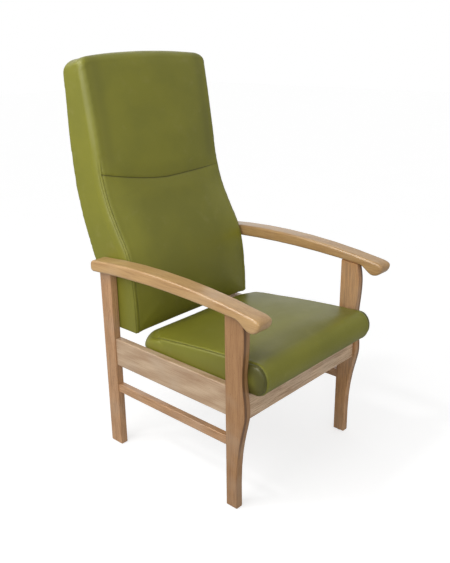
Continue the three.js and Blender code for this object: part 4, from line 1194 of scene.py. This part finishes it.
class FIRESIDE_OT_seat_frame(bpy.types.Operator):
    """Finishes the seat's plywood frame, webbing and screws, and stretches the cloth below it"""
    bl_idname = "fireside.seat_frame"
    bl_label = "Seat frame"

    def execute(self, context):
        plywood = shared("plywood_veneer", plywood_finish)
        webbing = shared("webbing_weave", webbing_finish)
        steel = shared("zinc_plated_steel", steel_finish)
        members = sides("seat_member") + ["seat_member_front", "seat_member_rear"]
        recoloured(members, plywood)
        recoloured([f"seat_web_{i}" for i in range(1, 5)], webbing)
        recoloured(sides("seat_screw_front") + sides("seat_screw_rear"), steel)
        low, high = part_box("seat_under_cloth")
        bm = bmesh.new()
        bmesh.ops.create_grid(bm, x_segments=60, y_segments=60, size=0.5)
        width, length = high.x - low.x, high.y - low.y
        for vert in bm.verts:
            across, along = vert.co.x * 2, vert.co.y * 2
            sag = (1 - across ** 2) * (1 - along ** 2)
            edge = max(abs(across), abs(along))
            fold = CLOTH_RIPPLE * math.sin(across * 47) * math.sin(along * 41) * (1 - edge)
            vert.co = Vector((
                (low.x + high.x) / 2 + vert.co.x * width,
                (low.y + high.y) / 2 + vert.co.y * length,
                high.z - CLOTH_THICKNESS - CLOTH_SAG * sag + fold))
        obj = object_from(bm, "under_cloth", None)
        dressed(obj, cloth_finish())
        wall = obj.modifiers.new("Cloth", "SOLIDIFY")
        wall.thickness = CLOTH_THICKNESS
        wall.offset = -1
        finished(obj, "cloth", "seat_under_cloth")
        return {"FINISHED"}


# Back

def back_seams(points, front_line):
    """Gaps to the back's edge seams, positive on its main panel, and to its headrest seam, and how
    far points lie behind its front."""
    s = sizes()
    x, y, z = points.T
    behind = y - front_line(z)
    unrolled = back_high.x - np.abs(x) - np.maximum(behind, 0)
    slope = TOP_SEAM_SLOPE * np.minimum(unrolled, TOP_SEAM_SLOPE_REACH)
    over_top = back_top_side() - TOP_SEAM_DROP + slope
    rise = eased(ramp(z - back_low.z, *EDGE_SEAM_RISE))
    seam_inset = s.low_edge_seam_inset + (s.edge_seam_inset - s.low_edge_seam_inset) * rise
    a = unrolled - (seam_inset - edge_fall(edge_radius(z), seam_inset)) + EDGE_SEAM_TURN
    b = z - over_top + EDGE_SEAM_TURN
    beyond = np.hypot(np.maximum(a, 0), np.maximum(b, 0)) - EDGE_SEAM_TURN
    edge_gap = beyond + np.minimum(np.maximum(a, b), 0)
    return edge_gap, z - head_seam(x), behind


def back_painted_shade(points):
    """Painted shade on the back's vinyl: more at the foot and in a band beside the headrest's edges,
    and a little on the middle of the back below the headrest."""
    x, _, z = points.T
    inset = back_high.x - np.abs(x)
    at_head = ramp(z - head_seam(x), 0, 0.05)
    foot = PAINTED_SHADE_BACK_FOOT * ramp(z - back_low.z, 0.22, 0)
    beside_edge = PAINTED_SHADE_HEAD_EDGE * bell(inset, 0.045, 0.022) * at_head
    lumbar = PAINTED_SHADE_LUMBAR * ramp(inset, 0.06, 0.12) * (1 - at_head)
    return foot + beside_edge + lumbar


class FIRESIDE_OT_back_cushion(bpy.types.Operator):
    """Swells the back's padding, sews its seams and hollows it for the frame inside"""
    bl_idname = "fireside.back_cushion"
    bl_label = "Back cushion"

    def execute(self, context):
        s = sizes()
        layer = s.back_swell * 0.5
        front_line, rear_line = back_front_line(), back_rear_line()
        insets = np.r_[rounded_insets(s.edge_reach, 12), np.linspace(s.edge_reach, 0.05, 5)[1:]]
        places = places_across(back_high.x, insets, 20)
        obj = closed_form("back_cushion", places, lambda x: back_ring(x, layer, front_line, rear_line))

        def held(points):
            edge_gap, head_gap, behind = back_seams(points, front_line)
            front = (behind < 0.03) & (edge_gap > -0.004)
            edge = ramp(np.abs(edge_gap), *SEAM_HOLD)
            head = ramp(np.abs(head_gap), *SEAM_HOLD) * front
            rear = ramp(points[:, 1] - rear_line(points[:, 2]), *BACK_REAR_HOLD)
            low = points[:, 2] < back_top_side() - BACK_TOP_FREE
            return np.maximum.reduce([edge, head, rear * low])

        def limits(points):
            beside = ramp(back_high.x - np.abs(points[:, 0]), *BACK_SWELL_INSETS)
            return BACK_LEAST_SWELL + beside * s.back_swell
        swollen(obj, s.voxel * BACK_VOXEL_SHARE, held, limits)
        self.sew(obj, front_line)
        self.hollow(obj, rear_line)
        points = coordinates(obj.data)
        edge_gap, head_gap, _ = back_seams(points, front_line)
        rear_side = normals(obj.data)[:, 1] > 0.3
        keep(obj.data, "edge_gap", edge_gap)
        keep(obj.data, "edge_shown", (0.03 - head_gap) * 0.05)
        keep(obj.data, "head_gap", np.where(rear_side, 0.05, head_gap))
        keep(obj.data, "head_shown", np.minimum(edge_gap, (0.20 - points[:, 0]) * 0.02))
        # This attribute holds painted shade for the back's vinyl.
        keep(obj.data, "painted_shade", back_painted_shade(points))
        seams = [("edge_gap", "edge_shown", s.twin_seam / 2, 0.14),
                 ("head_gap", "head_shown", 0.0, 0.75)]
        dressed(obj, vinyl_finish("back_vinyl", seams, "painted_shade"))
        finished(obj, "vinyl", "back_cover", "back_foam")
        return {"FINISHED"}

    def sew(self, obj, front_line):
        """Draws the edge seams and the headrest seam in and gathers the vinyl beside them."""
        s = sizes()
        points = coordinates(obj.data)
        outward = normals(obj.data)
        x, _, z = points.T
        edge_gap, head_gap, behind = back_seams(points, front_line)
        on_front = ramp(edge_gap, 0, 0.006) * (outward[:, 1] < 0.3)
        on_side = ramp(behind, 0.02, 0.04)
        side_end = np.exp(-(back_high.x - np.abs(x) - s.edge_seam_inset) / 0.05)
        run = z + np.maximum(behind, 0)
        edge_folds = gathers(run, 0.7) * s.pucker * np.exp(-np.abs(edge_gap) / 0.010)
        head_folds = gathers(x, 1.9) * s.pucker * np.exp(-np.abs(head_gap) / 0.012)
        faded = np.maximum(ramp(x, 0.23, 0.07), 0.25)
        sewn = np.maximum(ramp(head_gap, 0.06, 0), 0.1)
        edge = (twin_furrow(edge_gap) * sewn + edge_folds * 0.7) * (1 - 0.7 * on_side)
        head = on_front * (furrow(head_gap) * 0.5 * faded + head_folds * (0.35 + 1.2 * side_end))
        points = points + outward * (edge + head)[:, None]
        reach = leg_inner - BACK_LEG_ROOM
        points[:, 0] = np.clip(points[:, 0], -reach, reach)
        move_to(obj.data, points)

    def hollow(self, obj, rear_line):
        """Makes room for the stiles, rails, webs, rear panel and bolts."""
        z_low, z_high = stile_low.z - SPARE, stile_high.z + SPARE
        rows = back_low.z + np.array(back_row_shares) * (back_top_side() - back_low.z)
        rows = np.r_[z_low, rows[(rows > z_low) & (rows < z_high)], z_high]
        bolt_low, bolt_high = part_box("back_bolt_high_right")
        taper = eased(ramp(rows - (bolt_low.z + bolt_high.z) / 2, *STILE_TAPER))
        low_depth, high_depth = STILE_DEPTHS
        depth = low_depth + (high_depth - low_depth) * taper
        front = rear_line(rows) - REAR_SHELL - depth - STILE_ROOM
        rear = rear_line(rows) - REAR_ROOM
        outline = [*zip(front, rows), *zip(rear[::-1], rows[::-1])]
        panel_rows = np.linspace(panel_low.z - SPARE, panel_high.z + SPARE, 40)
        window = [*zip(rear_line(panel_rows) - PANEL_ROOM, panel_rows),
                  *zip(rear_line(panel_rows[::-1]) + PAST_OUTSIDE, panel_rows[::-1])]
        bolts = [bolt_cutter(f"back_bolt_{level}_{side}")
                 for level in ("low", "high") for side in ("right", "left")]
        cut_out(obj, [outline_cutter(outline, stile_high.x + SPARE),
                      outline_cutter(window, panel_high.x + SPARE), *bolts])


class FIRESIDE_OT_back_frame(bpy.types.Operator):
    """Finishes the plywood frame and the webbing inside the back"""
    bl_idname = "fireside.back_frame"
    bl_label = "Back frame"

    def execute(self, context):
        rails = [f"back_rail_{part}" for part in ("bottom", "middle", "top")]
        recoloured(sides("back_stile") + rails, shared("plywood_veneer", plywood_finish))
        recoloured([f"back_web_{i}" for i in range(1, 5)], shared("webbing_weave", webbing_finish))
        return {"FINISHED"}


class FIRESIDE_OT_rear_panel(bpy.types.Operator):
    """Builds the thinly padded vinyl panel that closes the back's rear"""
    bl_idname = "fireside.rear_panel"
    bl_label = "Rear panel"

    def execute(self, context):
        rear_line = back_rear_line()
        bm = bmesh.new()
        bmesh.ops.create_grid(bm, x_segments=70, y_segments=110, size=0.5)
        width, height = panel_high.x - panel_low.x, panel_high.z - panel_low.z
        for vert in bm.verts:
            x = vert.co.x * width
            z = (panel_low.z + panel_high.z) / 2 + vert.co.y * height
            edge = min(width / 2 - abs(x), height / 2 - abs(vert.co.y) * height)
            fall = float(edge_fall(PANEL_ROUND, edge))
            vert.co = Vector((x, float(rear_line(z)) - fall - 0.0001, z))
        bmesh.ops.recalc_face_normals(bm, faces=bm.faces)
        if next(iter(bm.faces)).normal.y < 0:
            bmesh.ops.reverse_faces(bm, faces=bm.faces)
        obj = object_from(bm, "rear_panel", None)
        dressed(obj, vinyl_finish("rear_panel_vinyl"))
        wall = obj.modifiers.new("Board", "SOLIDIFY")
        wall.thickness = PANEL_THICKNESS
        wall.offset = -1
        finished(obj, "vinyl", "back_rear_panel")
        return {"FINISHED"}


# Wooden frame

class FIRESIDE_OT_side_frames(bpy.types.Operator):
    """Smooths and lacquers the legs, arms, side rails and stretchers"""
    bl_idname = "fireside.side_frames"
    bl_label = "Side frames"

    def execute(self, context):
        c = colours()
        outer_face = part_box("front_leg_right")[1].x
        for side, seed in (("right", 0.0), ("left", 3.1)):
            # The right front leg's ground is lightened 1.45 times: painted light that makes up for the
            # shade on its inner side.
            ground = c.beech if side == "left" else c.beech * 1.45
            leg = beech_finish(f"beech_front_leg_{side}", ground, c.beech_grain, 2, seed=seed,
                               outer_face=outer_face)
            wood_copy(f"front_leg_{side}", leg)
            leg = beech_finish(f"beech_rear_leg_{side}", c.rear_leg, c.beech_grain, 2, seed=seed + 1.3)
            wood_copy(f"rear_leg_{side}", leg)
            arm = beech_finish(f"beech_arm_{side}", c.arm, c.beech_grain, 1, lines=0.24,
                               seed=seed + 2.2)
            wood_copy(f"arm_{side}", arm)
            rail = beech_finish(f"beech_side_rail_{side}", c.rail, c.beech_grain, 1, lines=0.24,
                                figure=0.7, seed=seed + 0.5)
            wood_copy(f"side_rail_{side}", rail)
            low = beech_finish(f"beech_stretcher_{side}", c.rear_leg, c.beech_grain, 1, seed=seed + 4.4)
            wood_copy(f"side_stretcher_{side}", low)
        return {"FINISHED"}


class FIRESIDE_OT_cross_rails(bpy.types.Operator):
    """Smooths and lacquers the rails across the chair and the blocks in their corners"""
    bl_idname = "fireside.cross_rails"
    bl_label = "Cross rails"

    def execute(self, context):
        c = colours()
        # The cross rails' ground is the side rails' lightened 1.3 times: painted light for the front
        # rail's face, which the lamps light less.
        rail = beech_finish("beech_cross_rail", c.rail * 1.3, c.beech_grain, 0, seed=5.2)
        wood_copy("front_rail", rail)
        wood_copy("rear_cross_rail", rail)
        block = beech_finish("beech_corner_block", c.rail, c.beech_grain, 0, seed=6.6)
        recoloured(sides("corner_block_front") + sides("corner_block_rear"), block)
        return {"FINISHED"}


class FIRESIDE_OT_fixings(bpy.types.Operator):
    """Finishes the bolts, their inserts and plugs, and the glides under the feet"""
    bl_idname = "fireside.fixings"
    bl_label = "Fixings and glides"

    def execute(self, context):
        c = colours()
        steel = shared("zinc_plated_steel", steel_finish)
        plug = beech_finish("beech_plug", c.rear_leg, c.beech_grain, 2, seed=1.3)
        for level in ("low", "high"):
            recoloured(sides(f"back_bolt_{level}") + sides(f"bolt_insert_{level}"), steel)
            recoloured(sides(f"bolt_plug_{level}"), plug)
        recoloured(sides("glide_front") + sides("glide_rear"), nylon_finish())
        return {"FINISHED"}


# Stage

class FIRESIDE_OT_stage(bpy.types.Operator):
    """Sets the pale floor, the soft light and the camera"""
    bl_idname = "fireside.stage"
    bl_label = "Stage"

    def execute(self, context):
        scene = context.scene
        scene.view_settings.view_transform = "Standard"
        self.floor()
        self.world(scene)
        self.screen_lamp("key", power=16.0, size=1.2, place=(-1.50, 0.10, 1.46),
                         aim=(-0.25, -0.05, 0.75))
        self.lamp("fill", energy=0.49, degrees=60, direction=(-0.20, -0.93, 0.30))
        self.lamp("rim", energy=0.30, degrees=6, direction=(-0.45, 0.35, 0.82))
        self.lamp("edge", energy=0.30, degrees=10, direction=(-0.66, -0.58, 0.46))
        self.camera(scene)
        return {"FINISHED"}

    def floor(self):
        bm = bmesh.new()
        bmesh.ops.create_grid(bm, x_segments=8, y_segments=8, size=FLOOR_HALF)
        material = bpy.data.materials.new("pale_floor")
        material.use_nodes = True
        tree = material.node_tree
        tree.nodes.clear()
        output = put(tree, "ShaderNodeOutputMaterial")
        marks = noise(tree, placed(tree), 3, 2)
        colour = blended(tree, marks, (0.50, 0.50, 0.50), (0.52, 0.52, 0.52))
        matte = put(tree, "ShaderNodeBsdfDiffuse", {"Color": colour}).outputs[0]
        glow = put(tree, "ShaderNodeEmission", {
            "Color": (1, 1, 1, 1), "Strength": FLOOR_GLOW,
        }).outputs[0]
        both = put(tree, "ShaderNodeAddShader", {0: matte, 1: glow}).outputs[0]
        seen = put(tree, "ShaderNodeLightPath").outputs["Is Camera Ray"]
        mixed = put(tree, "ShaderNodeMixShader", {0: seen, 1: matte, 2: both}).outputs[0]
        tree.links.new(mixed, output.inputs["Surface"])
        object_from(bm, "floor", material)

    def world(self, scene):
        world = bpy.data.worlds.new("studio")
        scene.world = world
        world.use_nodes = True
        tree = world.node_tree
        tree.nodes.clear()
        output = put(tree, "ShaderNodeOutputWorld")
        path = put(tree, "ShaderNodeLightPath")
        seen = maths(tree, "MAXIMUM", path.outputs["Is Camera Ray"],
                     path.outputs["Is Transmission Ray"])
        near_bright = towards(tree, BRIGHT_SCREEN)
        near_arris = towards(tree, ARRIS_SCREEN)
        screen = maths(tree, "ADD", spread(tree, near_bright, *BRIGHT_SCREEN_GLOW),
                       spread(tree, near_bright, *BRIGHT_SCREEN_CORE))
        screen = maths(tree, "ADD", screen, spread(tree, near_arris, *ARRIS_SCREEN_GLOW))
        dim, bright, white = [
            put(tree, "ShaderNodeBackground", {"Color": (1, 1, 1, 1), "Strength": strength}).outputs[0]
            for strength in (WORLD_LIGHT, screen, 1.0)]
        glossy = path.outputs["Is Glossy Ray"]
        mixed = put(tree, "ShaderNodeMixShader", {0: glossy, 1: dim, 2: bright}).outputs[0]
        mixed = put(tree, "ShaderNodeMixShader", {0: seen, 1: mixed, 2: white}).outputs[0]
        tree.links.new(mixed, output.inputs["Surface"])

    def lamp(self, name, energy, degrees, direction):
        lamp = bpy.data.lights.new(name, "SUN")
        lamp.energy = energy
        lamp.angle = math.radians(degrees)
        obj = bpy.data.objects.new(name, lamp)
        obj.rotation_euler = Vector(direction).to_track_quat("Z", "Y").to_euler()
        bpy.context.scene.collection.objects.link(obj)

    def screen_lamp(self, name, power, size, place, aim):
        """A broad lit screen beside the chair, so that its light falls off towards the floor."""
        lamp = bpy.data.lights.new(name, "AREA")
        lamp.energy = power
        lamp.size = size
        obj = bpy.data.objects.new(name, lamp)
        obj.location = place
        obj.rotation_euler = (Vector(place) - Vector(aim)).to_track_quat("Z", "Y").to_euler()
        obj.visible_camera = False
        bpy.context.scene.collection.objects.link(obj)

    def camera(self, scene):
        data = bpy.data.cameras.new("camera")
        data.sensor_width = SENSOR_WIDTH
        data.sensor_fit = "AUTO"
        data.lens = focal_pixels / photo_size[1] * data.sensor_width
        camera = bpy.data.objects.new("camera", data)
        az, el, roll = camera_azimuth, camera_elevation, camera_roll
        back = Vector((math.sin(az) * math.cos(el), -math.cos(az) * math.cos(el), math.sin(el)))
        right = Vector((math.cos(az), math.sin(az), 0))
        up = back.cross(right)
        turned_right = math.cos(roll) * right + math.sin(roll) * up
        turned_up = -math.sin(roll) * right + math.cos(roll) * up
        turn = Matrix((turned_right, turned_up, back)).transposed().to_4x4()
        camera.matrix_world = Matrix.Translation(camera_place) @ turn
        scene.collection.objects.link(camera)
        scene.camera = camera


BUILD_STEPS = (
    FIRESIDE_OT_side_frames,
    FIRESIDE_OT_cross_rails,
    FIRESIDE_OT_fixings,
    FIRESIDE_OT_seat_cushion,
    FIRESIDE_OT_seat_frame,
    FIRESIDE_OT_back_cushion,
    FIRESIDE_OT_back_frame,
    FIRESIDE_OT_rear_panel,
    FIRESIDE_OT_stage,
)


class FIRESIDE_PT_chair(bpy.types.Panel):
    """Lists the steps that build the chair, with its sizes and colours"""
    bl_idname = "FIRESIDE_PT_chair"
    bl_label = "Fireside chair"
    bl_space_type = "VIEW_3D"
    bl_region_type = "UI"
    bl_category = "Fireside chair"

    def draw(self, context):
        layout = self.layout
        for step in BUILD_STEPS:
            layout.operator(step.bl_idname)
        for group in (context.scene.fireside_sizes, context.scene.fireside_colours):
            box = layout.box()
            for name in group.bl_rna.properties.keys():
                if name not in ("rna_type", "name"):
                    box.prop(group, name)


def register():
    for kind in (UpholsterySizes, FinishColours, *BUILD_STEPS, FIRESIDE_PT_chair):
        bpy.utils.register_class(kind)
    bpy.types.Scene.fireside_sizes = PointerProperty(type=UpholsterySizes)
    bpy.types.Scene.fireside_colours = PointerProperty(type=FinishColours)


def unregister():
    del bpy.types.Scene.fireside_colours
    del bpy.types.Scene.fireside_sizes
    for kind in reversed((UpholsterySizes, FinishColours, *BUILD_STEPS, FIRESIDE_PT_chair)):
        bpy.utils.unregister_class(kind)


def main():
    register()
    bpy.ops.fireside.side_frames()
    bpy.ops.fireside.cross_rails()
    bpy.ops.fireside.fixings()
    bpy.ops.fireside.seat_cushion()
    bpy.ops.fireside.seat_frame()
    bpy.ops.fireside.back_cushion()
    bpy.ops.fireside.back_frame()
    bpy.ops.fireside.rear_panel()
    bpy.ops.fireside.stage()


if __name__ == "__main__":
    main()
